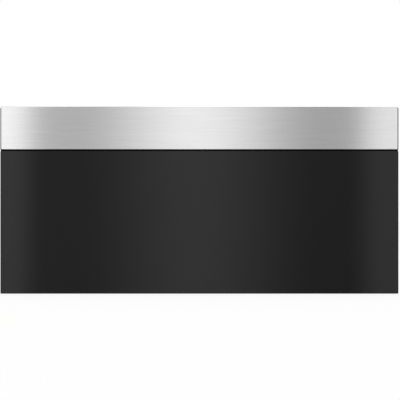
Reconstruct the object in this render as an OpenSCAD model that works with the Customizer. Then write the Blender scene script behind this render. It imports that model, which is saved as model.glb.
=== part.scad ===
// Built-in warming drawer with a handle-free push-to-open front, in millimetres.
// X runs across the width, Y from the front (negative) to the rear, Z up from the shelf it stands on.
// The origin is on the shelf, at the centre of the plan outline.

/* [Drawer front] */
// Width of the drawer front
front_w = 759; // [748:1:800]
// Height of the drawer front
front_h = 357; // [354:1:390]
// Gap between the lower edge of the front and the shelf
front_lift = 1.5; // [1:0.5:3]
// Height of the steel strip along the top of the front
strip_h = 82; // [60:0.5:110]
// Shadow gap between the strip and the glass
strip_gap = 3; // [1:0.5:4]
// How far the strip stops short of each side of the front
strip_inset = 1.2; // [0.6:0.1:3]
// Sheet thickness of the strip
strip_t = 1; // [0.8:0.1:1.2]
// Bend radius along the edges of the strip
strip_bend = 1.5; // [1.4:0.1:2]
// Thickness of the glass
glass_t = 5; // [4:0.5:8]
// Ground chamfer along the edges of the glass
glass_chamfer = 0.6; // [0.3:0.1:1]
// Corner radius of the glass
glass_corner = 2; // [1.5:0.5:4]
// Thickness of the bonding tape behind the glass and the strip
tape_t = 1; // [0.5:0.1:2]
// Width of each run of bonding tape
tape_w = 18; // [10:1:30]
// Depth of the carrier tray behind the glass
carrier_depth = 15; // [12:1:20]
// Sheet thickness of the carrier tray, the inner panel and the console
carrier_t = 1; // [0.8:0.1:1.5]
// How far the carrier stays below the top and above the lower edge of the front
carrier_reveal = 1; // [0.5:0.1:2]
// Width of the crown of each stiffening channel in the front
stiffener_w = 34; // [24:1:50]
// Distance of each stiffening channel in from the side of the drawer pan
stiffener_in = 55; // [45:1:130]
// Sheet thickness of the stiffening channels
stiffener_t = 1.2; // [1:0.1:1.5]
// Width of the gasket on the back of the front
gasket_w = 7; // [5:0.5:8]

/* [Housing] */
// Outer width of the housing
body_w = 712; // [690:1:722]
// Outer height of the housing
body_h = 345; // [335:1:350]
// Depth of the housing, from the face of the collar to the outside of the rear panel
body_d = 536; // [534:1:580]
// Sheet thickness of the housing
sheet_t = 1; // [0.8:0.1:1.4]
// Width of the folded edges of the housing sheets
fold_w = 14; // [12:1:16]
// Height of the glide feet under the housing
foot_h = 3; // [2:0.5:5]
// Diameter of the glide feet
foot_d = 30; // [20:1:40]
// Distance of each glide foot from the side and from the end of the housing
foot_in = 40; // [38:1:60]
// Gap between the drawer front and the collar
front_gap = 4; // [3:0.5:6]
// Sheet thickness of the collar
collar_t = 1.2; // [1:0.1:1.5]
// How far the collar stands out past each side of the housing
collar_wing = 14; // [12:1:16]
// How far the collar reaches in from each side of the housing
collar_side = 12; // [10:1:12]
// How far the collar reaches in from the bottom and the top of the housing
collar_sill = 12; // [11:1:14]
// Depth of the return along the edge of the collar's opening
collar_return = 10; // [6:1:12]
// Corner radius of the collar's opening
collar_corner = 6; // [3:1:9]
// Diameter of the cabinet screw holes in the collar
cabinet_hole_d = 4.5; // [3.5:0.1:5.5]
// Height between the cabinet screw holes
cabinet_hole_span = 230; // [150:1:260]
// Radius of the pressed stiffening beads
bead_r = 9; // [7:0.5:11]
// Depth of the pressed stiffening beads
bead_depth = 2.5; // [1.5:0.1:3]
// Spacing of the beads in the base and the top
bead_pitch = 90; // [60:1:95]
// Spacing of the beads in the side panels
side_bead_pitch = 55; // [40:1:60]
// Width of the cooling slots in the rear panel
vent_w = 5; // [3:0.5:7]
// Spacing of the cooling slots in the rear panel
vent_pitch = 12; // [10:1:14]
// Number of cooling slots in each half of the rear panel
vents = 14; // [8:1:16]
// Diameter of the screws
screw_d = 3.2; // [2.8:0.1:3.6]

/* [Air unit at the rear] */
// Depth of the compartment that holds the motor and the electronics
motor_space = 52; // [50:1:70]
// Depth of the heating chamber
chamber_d = 33; // [33:1:45]
// Height of the fan shaft above the shelf
fan_z = 175; // [165:1:185]
// Diameter of the fan wheel
fan_d = 116; // [90:1:126]
// Number of fan blades
fan_blades = 12; // [8:1:16]
// Depth of the fan blades
blade_depth = 17; // [12:1:18]
// Diameter of the fan shaft
shaft_d = 6; // [5:0.5:8]
// Radius of the heating element's ring
heater_r = 82; // [76:1:95]
// Diameter of the heating element's tube
heater_d = 6.5; // [5:0.5:8]
// Number of hole rings in the air intake
intake_rings = 4; // [2:1:4]
// Diameter of the intake holes
intake_hole_d = 7; // [4:0.5:8]
// Number of air outlet slots on each side
outlet_slots = 8; // [4:1:8]
// Width of the air outlet slots
outlet_w = 5; // [3:0.5:7]
// Spacing of the air outlet slots
outlet_pitch = 20; // [14:1:20]

/* [Runners] */
// Depth of the bracket between the housing's side and the runner
bracket_depth = 12; // [10:1:16]
// Sheet thickness of the bracket
bracket_t = 1.5; // [1:0.1:2]
// Thickness of the telescopic runner
runner_t = 13; // [13:0.5:15]
// Height of the telescopic runner
runner_h = 45; // [44:1:50]
// Length of the telescopic runner
runner_len = 424; // [415:1:426]
// Steel thickness of the runner's members
runner_steel = 1.6; // [1.4:0.1:1.8]
// Height of the runner's centre line above the bottom of the drawer pan
runner_rise = 40; // [36:1:60]
// Diameter of the bearing balls
ball_d = 4; // [3.5:0.1:4]
// Spacing of the bearing balls along the cage
ball_pitch = 14; // [8:1:16]
// Number of balls in each row
balls_per_row = 8; // [5:1:8]

/* [Drawer] */
// Space between the housing's base and the bottom of the drawer pan
pan_clear = 22; // [20:1:28]
// Height of the drawer pan
pan_h = 128; // [105:1:160]
// Sheet thickness of the drawer pan
pan_t = 1; // [0.8:0.1:1.4]
// Corner radius of the drawer pan
pan_corner = 24; // [20:1:40]
// Bend radius along the bottom of the drawer pan
pan_bend = 8; // [4:1:12]
// Width of the turned rim of the drawer pan
rim_w = 8; // [5:1:9]
// Bend radius of the turned rim
rim_bend = 1.5; // [1:0.1:2]
// Gap between the drawer pan and the air baffle
pan_rear_gap = 10; // [6:1:20]
// Thickness of the non-slip mat
mat_t = 3; // [2:0.5:4]
// Gap between the mat and the pan's walls
mat_gap = 14; // [12:1:18]

/* [Control console] */
// Height of the console on the inside of the drawer front
console_h = 34; // [30:1:44]
// Depth of the console
console_d = 36; // [34:1:50]
// How far the console stops short of each side of the collar's opening
console_in = 18; // [10:1:60]
// Gap between the console and the top of the collar's opening
console_clear = 3; // [2:0.5:6]
// Length of the glass touch strip
touch_l = 480; // [300:1:560]
// Width of the glass touch strip
touch_w = 22; // [18:1:23]
// Thickness of the glass touch strip
touch_t = 2.5; // [2:0.1:3]

/* [Latch] */
// Width of the push latch over its ears
latch_w = 50; // [46:1:60]
// Length of the push latch
latch_l = 50; // [46:1:54]
// Diameter of the latch plunger
plunger_d = 7; // [6:0.1:7.4]
// Travel of the latch plunger when it is pushed in
plunger_travel = 4; // [3:0.5:5]
// Wire diameter of the latch spring
spring_wire = 0.9; // [0.6:0.1:1]
// Number of turns of the latch spring
spring_turns = 8; // [5:1:10]

/* [Electrical parts] */
// Bore of the cable gland
gland_bore = 9; // [7:0.5:10]
// How far the cable gland stands out of the rear panel
gland_out = 8; // [6:1:12]
// Width of the power board
board_w = 150; // [130:1:160]
// Height of the power board
board_h = 110; // [100:1:120]

/* [Hidden] */
$fn = 64;
cut = 1;            // how far a cutter runs past the face that it opens
seat_gap = 0.3;     // gap between soft or moving faces that only meet
run_play = 0.05;    // radial play of a running shaft and of a ball in its race
hole_play = 0.1;    // radial play of a screw or a stem in its hole

// Depth, from the front to the rear
front_t = glass_t + tape_t + carrier_depth + carrier_t;
overall_d = front_t + front_gap + body_d + gland_out;
y_face = -overall_d / 2;
y_tape = y_face + glass_t;
y_carrier = y_tape + tape_t;
y_inner = y_carrier + carrier_depth;
y_back = y_inner + carrier_t;
y_collar = y_back + front_gap;
y_shell = y_collar + collar_t;
y_rear = y_collar + body_d;
y_rear_in = y_rear - sheet_t;
y_partition = y_rear_in - motor_space - sheet_t;
y_motor = y_partition + sheet_t;
y_baffle = y_partition - chamber_d - sheet_t;
y_chamber = y_baffle + sheet_t;

// Height
front_top = front_lift + front_h;
glass_top = front_top - strip_h - strip_gap;
strip_low = front_top - strip_h;
body_top = foot_h + body_h;
shell_low = foot_h + sheet_t;
shell_high = body_top - sheet_t;
shell_mid = (shell_low + shell_high) / 2;
pan_z = shell_low + pan_clear;
runner_z = pan_z + runner_rise;
opening_low = foot_h + collar_sill;
opening_high = body_top - collar_sill;
console_high = opening_high - console_clear;
console_low = console_high - console_h;

stiffener_low = front_lift + 14;
stiffener_high = console_low - 10;

// Width
front_x = front_w / 2;
strip_x = front_x - strip_inset;
shell_x = body_w / 2 - sheet_t;
opening_x = body_w / 2 - collar_side;
crown_x = shell_x - bracket_depth;
pan_x = crown_x - runner_t;
stiffener_x = pan_x - stiffener_in;
console_x = opening_x - console_in;
fold_x = shell_x - fold_w - 2 * sheet_t;      // end of the folds that stay clear of the side panels

// Runner section: u runs from the bracket towards the drawer, w up from the runner's centre line
cage_t = 0.5;
leaf = 0.4;                                    // gap between the webs and the cages
race_depth = 0.4;
race_r = ball_d / 2 + run_play;
ball_u = 8;
lip_u = runner_t - 1;                          // the members stop short of the drawer pan
u_cage_out = runner_steel + leaf;
u_middle = u_cage_out + cage_t + leaf;
u_cage_in = u_middle + runner_steel + leaf;
u_inner = u_cage_in + cage_t + leaf;
ball_w_out = runner_h / 2 - runner_steel + race_depth - race_r;
middle_h = 2 * (ball_w_out - race_r + race_depth);
ball_w_in = middle_h / 2 - runner_steel + race_depth - race_r;
inner_h = 2 * (ball_w_in - race_r + race_depth);
runner_bend_in = 0.8;                          // inside radius of the members' bends
runner_bend = runner_steel + runner_bend_in;
runner_y = y_collar + collar_return + 2;
cage_len = balls_per_row * ball_pitch;
cage_start = 160;                              // from the front end of a runner to its cages
cage_y = runner_y + cage_start;
cage_play = 0.2;                               // play of each ball in its hole
cage_reach = ball_u + ball_d / 2 + 1;
foot_flange = 10;                              // feet of the brackets and the stiffening channels

// Drawer front
strip_play = 0.2;                              // gap between the strip and what stands beside it
pockets = 12;                                  // hollows in the back of the strip's backer
pocket_edge = 8;
tape_in = 8;                                   // how far the tape stays inside the edges of the front
carrier_corner = 2;
pad_edge = 3;
gasket_in = 2;
gasket_corner = 10;
gasket_base_t = 1.5;
gasket_lip_t = 3;
console_bend = 3;
touch_corner = 2;
tray_wall = 3;
tray_h = 7;
tray_rise = 1.5;                               // how far the tray stands up into the glass strip's recess
tray_floor = console_high - carrier_t - tray_h + tray_rise;

// Drawer pan
pan_y0 = y_back;
pan_y1 = y_baffle - pan_rear_gap;
pan_d = pan_y1 - pan_y0;
pan_mid = (pan_y0 + pan_y1) / 2;
outlet_up = 30;                                // slots above the floor of the pan, and below its rim
outlet_down = 24;
outlet_low = pan_z + outlet_up;
outlet_high = pan_z + pan_h - outlet_down;
outlet_x = 150;                                // first slot on each side

// Housing
bead_in = 14;
side_bead_up = 51.5;                           // lowest side bead above the runner
panel_set_back = 2;                            // how much narrower the cross panels' folds are
vent_x = 120;
vent_low = 200;
vent_high = 260;
foot_stem = 8;
foot_edge = 1;
foot_barb = 1.5;

// Fan and motor
motor_bracket_t = 4;
bearing_d = 18;
bearing_l = 5;
stator_l = 20;
stator_w = 64;
stator_down = 24;                              // edges of the stator and its window, from the shaft
window_up = 23;
limb_up = 34;
stator_up = 46;
stator_low = fan_z - stator_down;
window_low = fan_z + window_up;
limb_low = fan_z + limb_up;
stator_high = fan_z + stator_up;
coil_x = 16;
coil_wall = 9;
bobbin_t = 1.5;                                // flanges of the winding's bobbin
air_gap = 0.5;
rotor_d = 31;
stator_corner = 4;
window_play = 3;                               // room for the bobbin's flange in the stator's window
pole_notch = 6;
stud_x = 26;
stud_d = 4;
sleeve_l = 6;
nut_h = 3;
nut_w = 7;
plate_arm = 12;                                // height of the bearing plates' arms
y_stator = y_motor + sleeve_l + motor_bracket_t;
y_bracket_rear = y_stator + stator_l;
wheel_gap = 6;                                 // from the partition to the back of the wheel
y_wheel = y_partition - wheel_gap;
hub_d = 14;
hub_l = 8;
disc_t = 1;
blade_pitch = 28;                              // angle of the blades to the radius' normal
fan_nut_w = 10;
fan_nut_h = 5;
shaft_end = 2.5;                               // how far the shaft stands out at each end
intake_pitch = 11;
heater_gap = 16;                               // from the partition to the ring's centre line
heater_y = y_partition - heater_gap;
heater_gap_angle = 24;                         // half of the gap at the foot of the ring
leg_bend = 10;
leg_out = 14;
collar_wall = 1.5;                             // the sleeve at each end of the ring is this much thicker
collar_l = 8;
heater_flange_t = 2;
probe_x = 112;
probe_d = 4;
probe_nut_w = 10.4;                            // across the corners
probe_l = 29;                                  // reach of the probe into the heating chamber
can_d = 16;
can_l = 9;
tab_w = 6.3;
cutout_x = -72;
cutout_up = 40;
cutout_z = fan_z + cutout_up;

// Latch
latch_z = opening_low + 2;
latch_h = pan_clear - 2;
latch_core = 22;
latch_ear = 4;
ear_l = 18;                                    // length of the ears along the latch
latch_y1 = y_baffle - seat_gap;
latch_y0 = latch_y1 - latch_l;
latch_wall = 6;
chamber_d_latch = plunger_d + 3;
magnet_d = 11;
magnet_t = 4;
y_magnet = latch_y0 - plunger_travel - magnet_t - seat_gap;
stop_y = latch_y0 + latch_wall + seat_gap;
stop_t = 2;
spring_mean = chamber_d_latch - 3 * spring_wire;
y_spring0 = stop_y + stop_t + seat_gap + spring_wire / 2;
y_spring1 = latch_y1 - latch_wall - seat_gap - spring_wire / 2;
striker_t = 1.2;
striker_w = 30;
striker_leg = 22;                              // length of the striker's leg under the pan
striker_y = y_magnet - seat_gap - striker_t;
striker_low = opening_low + 1;

// Screws
head_d = 2.2 * screw_d;
head_h = 0.6 * screw_d;
screw_hole = screw_d + 2 * hole_play;
front_shank = 8;
rear_bite = 5;                                 // how far the screws reach in behind the rear panel
rear_screw_in = 76;
rear_screw_x = [rear_screw_in - body_w / 2, 0, body_w / 2 - rear_screw_in];
rear_screw_z = [foot_h + fold_w / 2, body_top - fold_w / 2];
front_screw_up = 42;                           // front screws above the floor of the pan, and below its rim
front_screw_down = 30;
front_screw_z = [pan_z + front_screw_up, pan_z + pan_h - front_screw_down];
pan_screw_pitch = 150;
pan_screw_y = [pan_mid - pan_screw_pitch, pan_mid, pan_mid + pan_screw_pitch];
latch_screw_x = (latch_w + latch_core) / 4;

// Electrical parts
gland_x = -250;
gland_z = 62;
gland_wall = 3.5;
gland_stem = gland_bore + 2 * gland_wall;
gland_nut_rim = 3;
gland_nut = gland_stem + 2 * gland_nut_rim;
gland_nut_t = 5;
gland_in = 14;                                 // length of the gland inside the rear panel's outer face
block_x = -190;
block_h = 22;
block_depth = 16;
pole_w = 12;
poles = 3;
board_x = 120;
board_z = 60;
board_t = 1.6;
board_edge = 10;
standoff_l = 8;
standoff_d = 8;
standoff_pin = 3;
standoff_snap = 2;
transformer_h = 28;
relay_h = 16;
capacitor_d = 12;
capacitor_h = 22;
sink_h = 20;
socket_h = 10;
y_board = y_rear_in - standoff_l - board_t;
board_holes = [for (x = [board_x + board_edge, board_x + board_w - board_edge],
                    z = [board_z + board_edge, board_z + board_h - board_edge]) [x, z]];

// ---------- Helpers ----------

// Box between two opposite corners
module block(low, high) translate(low) cube(high - low);

// Extrudes a profile drawn in X and Z between two depths
module along_y(y0, y1) translate([0, y1, 0]) rotate([90, 0, 0]) linear_extrude(y1 - y0) children();

// Extrudes a profile drawn in Y and Z between two widths
module along_x(x0, x1) translate([x0, 0, 0]) rotate([90, 0, 90]) linear_extrude(x1 - x0) children();

// Extrudes a profile drawn in X and Y between two heights
module along_z(z0, z1) translate([0, 0, z0]) linear_extrude(z1 - z0) children();

// Round bar along Y through a point of the front view
module rod_y(x, z, d, y0, y1) translate([x, y0, z]) rotate([-90, 0, 0]) cylinder(d = d, h = y1 - y0);

// Round hole along Y through a sheet whose front face is at y
module hole_y(x, z, d, y, t = sheet_t) rod_y(x, z, d, y - cut, y + t + cut);

// Draws for the right side what is on side s
module on_side(s) {
    if (s < 0) mirror([1, 0, 0]) children();
    else children();
}

// Rectangle from two corners with four round corners
module round_rect(low, high, r) {
    translate([low.x + r, low.y]) square([high.x - low.x - 2 * r, high.y - low.y]);
    translate([low.x, low.y + r]) square([high.x - low.x, high.y - low.y - 2 * r]);
    for (x = [low.x + r, high.x - r], y = [low.y + r, high.y - r]) translate([x, y]) circle(r);
}

// Rectangle from two corners with its corners cut at 45 degrees
module chamfer_rect(low, high, c) polygon([
    [low.x + c, low.y], [high.x - c, low.y], [high.x, low.y + c], [high.x, high.y - c],
    [high.x - c, high.y], [low.x + c, high.y], [low.x, high.y - c], [low.x, low.y + c]
]);

// Rectangle on the Y axis whose two corners next to the axis are round
module soft_side(web, leg, r) {
    translate([r, -web / 2]) square([leg - r, web]);
    translate([0, r - web / 2]) square([leg, web - 2 * r]);
    for (s = [-1, 1]) translate([r, s * (web / 2 - r)]) circle(r);
}

// Folded channel: web on the Y axis, legs towards +X
module channel_profile(web, leg, t, r) difference() {
    soft_side(web, leg, r);
    translate([t, 0]) soft_side(web - 2 * t, leg, r - t);
}

// Channel with feet turned out along the ends of its legs
module hat_profile(web, leg, t, r) {
    channel_profile(web, leg, t, r);
    for (s = [-1, 1]) translate([leg - t, s * (web + foot_flange - t) / 2 - (foot_flange + t) / 2])
        square([t, foot_flange + t]);
}

// Folded angle: corner at the origin, legs towards +X and +Y
module angle_profile(a, b, t, r) difference() {
    union() {
        translate([r, 0]) square([a - r, b]);
        translate([0, r]) square([a, b - r]);
        translate([r, r]) circle(r);
    }
    translate([r, t]) square([a, b]);
    translate([t, r]) square([a, b]);
    translate([r, r]) circle(r - t);
}

// Upright slot with round ends, centred on x
module slot_2d(x, z0, z1, w) {
    translate([x - w / 2, z0 + w / 2]) square([w, z1 - z0 - w]);
    for (z = [z0 + w / 2, z1 - w / 2]) translate([x, z]) circle(d = w);
}

// Round-ended bar along X
module bar(len, r) rotate([0, 90, 0]) rotate_extrude() intersection() {
    translate([0, -len / 2]) square([r, len]);
    union() {
        translate([0, r - len / 2]) square([r, len - 2 * r]);
        for (s = [-1, 1]) translate([0, s * (len / 2 - r)]) circle(r);
    }
}

// A bead pressed up into a sheet whose outside is the plane z = 0: the raised back of it, and its hollow
module bead_back() intersection() {
    translate([0, 0, bead_depth - bead_r]) bar(bead_len + 2 * sheet_t, bead_r + sheet_t);
    block([-bead_len, -2 * bead_r, 0], [bead_len, 2 * bead_r, 2 * bead_r]);
}
module bead_hollow() translate([0, 0, bead_depth - bead_r]) bar(bead_len, bead_r);

// Pan-head screw along Y, with its head behind y and its shank towards -Y
module screw_y(x, z, y, shank) translate([x, y, z]) rotate([-90, 0, 0]) rotate_extrude() union() {
    polygon([[0, 0], [head_d / 2, 0], [head_d / 2, head_h / 2], [head_d / 3, head_h], [0, head_h]]);
    translate([0, -shank]) square([screw_d / 2, shank]);
}

// Hexagonal nut along Y
module nut_y(x, z, flats, bore, y0, y1) difference() {
    translate([x, y0, z]) rotate([-90, 0, 0]) cylinder(d = flats / cos(30), h = y1 - y0, $fn = 6);
    rod_y(x, z, bore, y0 - cut, y1 + cut);
}

// ---------- Drawer front ----------

module front_glass() color([0.13, 0.13, 0.135]) intersection() {
    along_x(-front_x, front_x) chamfer_rect([y_face, front_lift], [y_tape, glass_top], glass_chamfer);
    along_z(front_lift, glass_top) chamfer_rect([-front_x, y_face], [front_x, y_tape], glass_chamfer);
    along_y(y_face, y_tape) round_rect([-front_x, front_lift], [front_x, glass_top], glass_corner);
}

// Block with rounded front edges, open at the plane of the tape
module strip_block(x, y0, z0, z1, r) intersection() {
    along_x(-x, x) translate([y0, (z0 + z1) / 2]) soft_side(z1 - z0, y_tape - y0, r);
    along_z(z0, z1) translate([0, y0]) rotate(90) soft_side(2 * x, y_tape - y0, r);
}

module steel_strip() color([0.78, 0.78, 0.78]) difference() {
    strip_block(strip_x, y_face, strip_low, front_top, strip_bend);
    translate([0, cut / 2, 0]) block(
        [strip_t - strip_x, y_face + strip_t - cut / 2, strip_low + strip_t],
        [strip_x - strip_t, y_tape, front_top - strip_t]);
}

module strip_backer() color([0.1, 0.1, 0.1]) {
    inset = strip_t + strip_play;
    x = strip_x - inset;
    z0 = strip_low + inset;
    z1 = front_top - inset;
    pocket_pitch = 2 * x / pockets;
    pocket_w = pocket_pitch - pocket_edge;
    difference() {
        block([-x, y_face + strip_t, z0], [x, y_tape, z1]);
        for (i = [0:pockets - 1]) translate([(i + 0.5) * pocket_pitch - x, 0, 0])
            along_y(y_face + 2 * strip_t + strip_play, y_tape + cut)
                round_rect([-pocket_w / 2, z0 + pocket_edge],
                           [pocket_w / 2, z1 - pocket_edge], pocket_edge / 2);
    }
}

// Runs of tape around the glass and along the strip, one of them across the gap, which it darkens
module bonding_tape() color([0.08, 0.08, 0.08]) {
    x = front_x - tape_in;
    low = front_lift + tape_in;
    high = glass_top - tape_in;
    along_y(y_tape, y_carrier) difference() {
        translate([-x, low]) square([2 * x, high - low]);
        translate([tape_w - x, low + tape_w]) square([2 * (x - tape_w), high - low - 2 * tape_w]);
    }
    block([-strip_x, y_tape, high], [strip_x, y_carrier, strip_low + tape_w]);
    block([-x, y_tape, front_top - tape_in / 2 - tape_w], [x, y_carrier, front_top - tape_in / 2]);
}

// Tray behind the glass, with a lip at each end of the strip that shows as a thin dark line
module front_carrier() color([0.16, 0.16, 0.17]) {
    low = front_lift + carrier_reveal;
    high = front_top - carrier_reveal;
    lip_back = strip_t / 2;
    lip_t = strip_inset - strip_play;
    difference() {
        union() {
            along_y(y_carrier, y_inner) round_rect([-front_x, low], [front_x, high], carrier_corner);
            for (s = [-1, 1]) on_side(s) block([front_x - lip_t, y_face + lip_back, strip_low],
                [front_x, y_carrier + carrier_t, high - carrier_corner]);
        }
        along_y(y_carrier + carrier_t, y_inner + cut)
            square_between([carrier_t - front_x, low + carrier_t], [front_x - carrier_t, high - carrier_t]);
    }
}

// Rectangle between two corners
module square_between(low, high) translate(low) square(high - low);

// Hat channels between the carrier and the inner panel, which take the front's screws
module front_stiffeners() color([0.7, 0.71, 0.72]) for (s = [-1, 1]) {
    depth = carrier_depth - carrier_t;
    translate([s * stiffener_x, 0, 0]) difference() {
        along_z(stiffener_low, stiffener_high) translate([0, y_inner])
            rotate(-90) hat_profile(stiffener_w, depth, stiffener_t, 2 * stiffener_t);
        for (z = front_screw_z) hole_y(0, z, screw_hole, y_inner - stiffener_t, stiffener_t);
    }
}

// Insulating pads in the carrier, on both sides of each stiffening channel
module front_insulation() color([0.85, 0.83, 0.75]) {
    x_in = stiffener_x - stiffener_w / 2 - foot_flange - seat_gap;
    x_out = stiffener_x + stiffener_w / 2 + foot_flange + seat_gap;
    x_end = front_x - carrier_t - seat_gap;
    low = [y_carrier + carrier_t + seat_gap, stiffener_low];
    high = [y_inner - seat_gap, stiffener_high];
    for (x = [[-x_end, -x_out], [-x_in, x_in], [x_out, x_end]])
        along_x(x[0], x[1]) round_rect(low, high, pad_edge);
}

module inner_panel() color([0.74, 0.74, 0.74]) difference() {
    x = front_x - carrier_reveal;
    along_y(y_inner, y_back)
        round_rect([-x, front_lift + 2 * carrier_reveal],
                   [x, front_top - 2 * carrier_reveal], carrier_corner);
    for (s = [-1, 1], z = front_screw_z) hole_y(s * stiffener_x, z, screw_hole, y_inner, carrier_t);
}

// Ring of the gasket's section, set in from its outer edge
module gasket_ring(inset, w) difference() {
    x = body_w / 2 - gasket_in - inset;
    low = foot_h + gasket_in + inset;
    high = body_top - gasket_in - inset;
    round_rect([-x, low], [x, high], gasket_corner - inset);
    round_rect([w - x, low + w], [x - w, high - w], gasket_corner - inset - w);
}

module front_gasket() color([0.2, 0.2, 0.2]) {
    y_lip = y_back + gasket_base_t;
    along_y(y_back, y_lip) gasket_ring(0, gasket_w);
    along_y(y_lip, y_collar - seat_gap) gasket_ring((gasket_w - gasket_lip_t) / 2, gasket_lip_t);
}

// ---------- Control console ----------

// Outline of the touch strip in plan, grown by a margin
module touch_outline(margin, r) {
    x = touch_l / 2 + margin;
    y = y_back + console_d / 2;
    round_rect([-x, y - touch_w / 2 - margin], [x, y + touch_w / 2 + margin], r);
}

module control_console() color([0.74, 0.74, 0.74]) difference() {
    union() {
        along_x(-console_x, console_x) translate([y_back + console_d, (console_low + console_high) / 2])
            rotate(180) channel_profile(console_h, console_d, carrier_t, console_bend);
        for (s = [-1, 1]) on_side(s)
            block([console_x - carrier_t, y_back, console_low + carrier_t / 2],
                  [console_x, y_back + console_d - carrier_t / 2, console_high - carrier_t / 2]);
    }
    along_z(console_high - 2 * carrier_t, console_high + cut) touch_outline(seat_gap, touch_corner);
}

module touch_strip() color([0.05, 0.05, 0.06])
    along_z(console_high - touch_t, console_high) touch_outline(0, touch_corner - seat_gap);

module control_tray() color([0.12, 0.12, 0.12]) difference() {
    along_z(console_high - carrier_t - tray_h, console_high - carrier_t)
        touch_outline(tray_wall, touch_corner + tray_wall / 2);
    along_z(console_high - touch_t, console_high) touch_outline(seat_gap, touch_corner);
    along_z(tray_floor, console_high) touch_outline(-tray_wall, touch_corner / 2);
}

module control_board() color([0.1, 0.35, 0.18]) difference() {
    along_z(tray_floor, tray_floor + board_t) touch_outline(-tray_wall - seat_gap, touch_corner / 2);
    for (i = [-4:4]) translate([i * touch_l / 10, y_back + console_d / 2, tray_floor - cut])
        cylinder(d = screw_d, h = board_t + 2 * cut);
}

// ---------- Drawer pan ----------

// Wall of the pan in section: its outside is on the Y axis, the inside towards -X
module pan_wall_profile() {
    straight = pan_h - pan_bend - rim_bend - pan_t;
    module quarter(r, corner) intersection() {
        difference() {
            circle(r);
            circle(r - pan_t);
        }
        translate(corner * r) square(r);
    }
    translate([-pan_t, pan_bend]) square([pan_t, straight]);
    translate([-pan_bend, pan_bend]) quarter(pan_bend, [0, -1]);
    translate([rim_bend, pan_h - rim_bend - pan_t]) quarter(rim_bend + pan_t, [-1, 0]);
    translate([rim_bend, pan_h - pan_t]) square([rim_w - rim_bend, pan_t]);
}

module pan_corner_wall() rotate_extrude(angle = 90) translate([pan_corner, 0]) pan_wall_profile();

module pan_shell() translate([0, pan_mid, pan_z]) {
    cx = pan_x - pan_corner;
    cy = pan_d / 2 - pan_corner;
    linear_extrude(pan_t) round_rect([pan_bend - pan_x, pan_bend - pan_d / 2],
                                     [pan_x - pan_bend, pan_d / 2 - pan_bend], pan_corner - pan_bend);
    for (turn = [0, 180]) rotate(turn) {
        translate([pan_x, 0, 0]) rotate([90, 0, 0]) linear_extrude(2 * cy, center = true) pan_wall_profile();
        translate([0, pan_d / 2, 0]) rotate([90, 0, 90])
            linear_extrude(2 * cx, center = true) pan_wall_profile();
        translate([cx, cy, 0]) pan_corner_wall();
        translate([-cx, cy, 0]) rotate(90) pan_corner_wall();
    }
}

module drawer_pan() color([0.75, 0.75, 0.75]) difference() {
    pan_shell();
    block([-front_x, pan_y0 - 2 * rim_w, pan_z], [front_x, pan_y0, pan_z + pan_h + cut]);
    along_y(pan_y1 - 2 * pan_t, pan_y1 + cut) outlet_pattern();
    for (s = [-1, 1], z = front_screw_z) hole_y(s * stiffener_x, z, screw_hole, pan_y0, pan_t);
    for (s = [-1, 1], y = pan_screw_y) at_pan_screw(s, y) rod_y(0, 0, screw_hole, -2 * pan_t, cut);
}

// Slots that let the warm air out of the heating chamber and into the pan
module outlet_pattern() for (s = [-1, 1], i = [0:outlet_slots - 1])
    slot_2d(s * (outlet_x + i * outlet_pitch), outlet_low, outlet_high, outlet_w);

// Puts +Y along the outward normal of the pan's side, at its outer face
module at_pan_screw(s, y) translate([s * pan_x, y, runner_z]) rotate([0, 0, -s * 90]) children();

module non_slip_mat() color([0.24, 0.24, 0.25]) along_z(pan_z + pan_t, pan_z + pan_t + mat_t)
    round_rect([mat_gap - pan_x, pan_y0 + mat_gap],
               [pan_x - mat_gap, pan_y1 - mat_gap], pan_corner - mat_gap);

// Screws that hold the pan on the stiffening channels and on the inner members of the runners
module drawer_screws() color([0.8, 0.8, 0.8]) {
    for (s = [-1, 1], z = front_screw_z) screw_y(s * stiffener_x, z, pan_y0 + pan_t, front_shank);
    for (s = [-1, 1], y = pan_screw_y) at_pan_screw(s, y) mirror([0, 1, 0])
        screw_y(0, 0, pan_t, pan_t + runner_steel);
}

module latch_striker() color([0.7, 0.71, 0.72]) along_x(-striker_w / 2, striker_w / 2)
    translate([striker_y + striker_t, pan_z]) rotate(180)
        angle_profile(striker_leg, pan_z - striker_low, striker_t, 2 * striker_t);

// ---------- Housing ----------

bead_y0 = runner_y + bead_in;
bead_y1 = y_baffle - bead_in - foot_flange;
bead_len = bead_y1 - bead_y0;
bead_mid = (bead_y0 + bead_y1) / 2;
base_bead_x = [for (i = [-3:3]) if (i != 0) i * bead_pitch];
top_bead_x = [for (i = [-3:3]) i * bead_pitch];
side_bead_z = [for (i = [0:2]) runner_z + runner_h / 2 + side_bead_up + i * side_bead_pitch];

// Place a bead, drawn on the plane z = 0 and along X, on the base, the top or the right side
module on_base(x) translate([x, bead_mid, foot_h]) rotate(90) children();
module on_top(x) translate([x, bead_mid, body_top]) rotate([180, 0, 90]) children();
module on_flank(z) translate([body_w / 2, bead_mid, z]) rotate([0, -90, 0]) rotate(90) children();

module housing_base() color([0.72, 0.73, 0.74]) difference() {
    union() {
        block([-body_w / 2, y_shell, foot_h], [body_w / 2, y_rear_in - 2 * sheet_t, shell_low]);
        along_x(-fold_x, fold_x) translate([y_rear_in, foot_h])
            rotate(90) angle_profile(fold_w, fold_w, sheet_t, 2 * sheet_t);
        for (x = base_bead_x) on_base(x) bead_back();
    }
    for (x = base_bead_x) on_base(x) bead_hollow();
    for (x = rear_screw_x) hole_y(x, rear_screw_z[0], screw_hole, y_rear_in - sheet_t);
    at_feet() cylinder(d = foot_stem + 2 * hole_play, h = 4 * shell_low, center = true);
    at_latch_screws() cylinder(d = screw_hole, h = 2 * cut + sheet_t, center = true);
}

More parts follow.
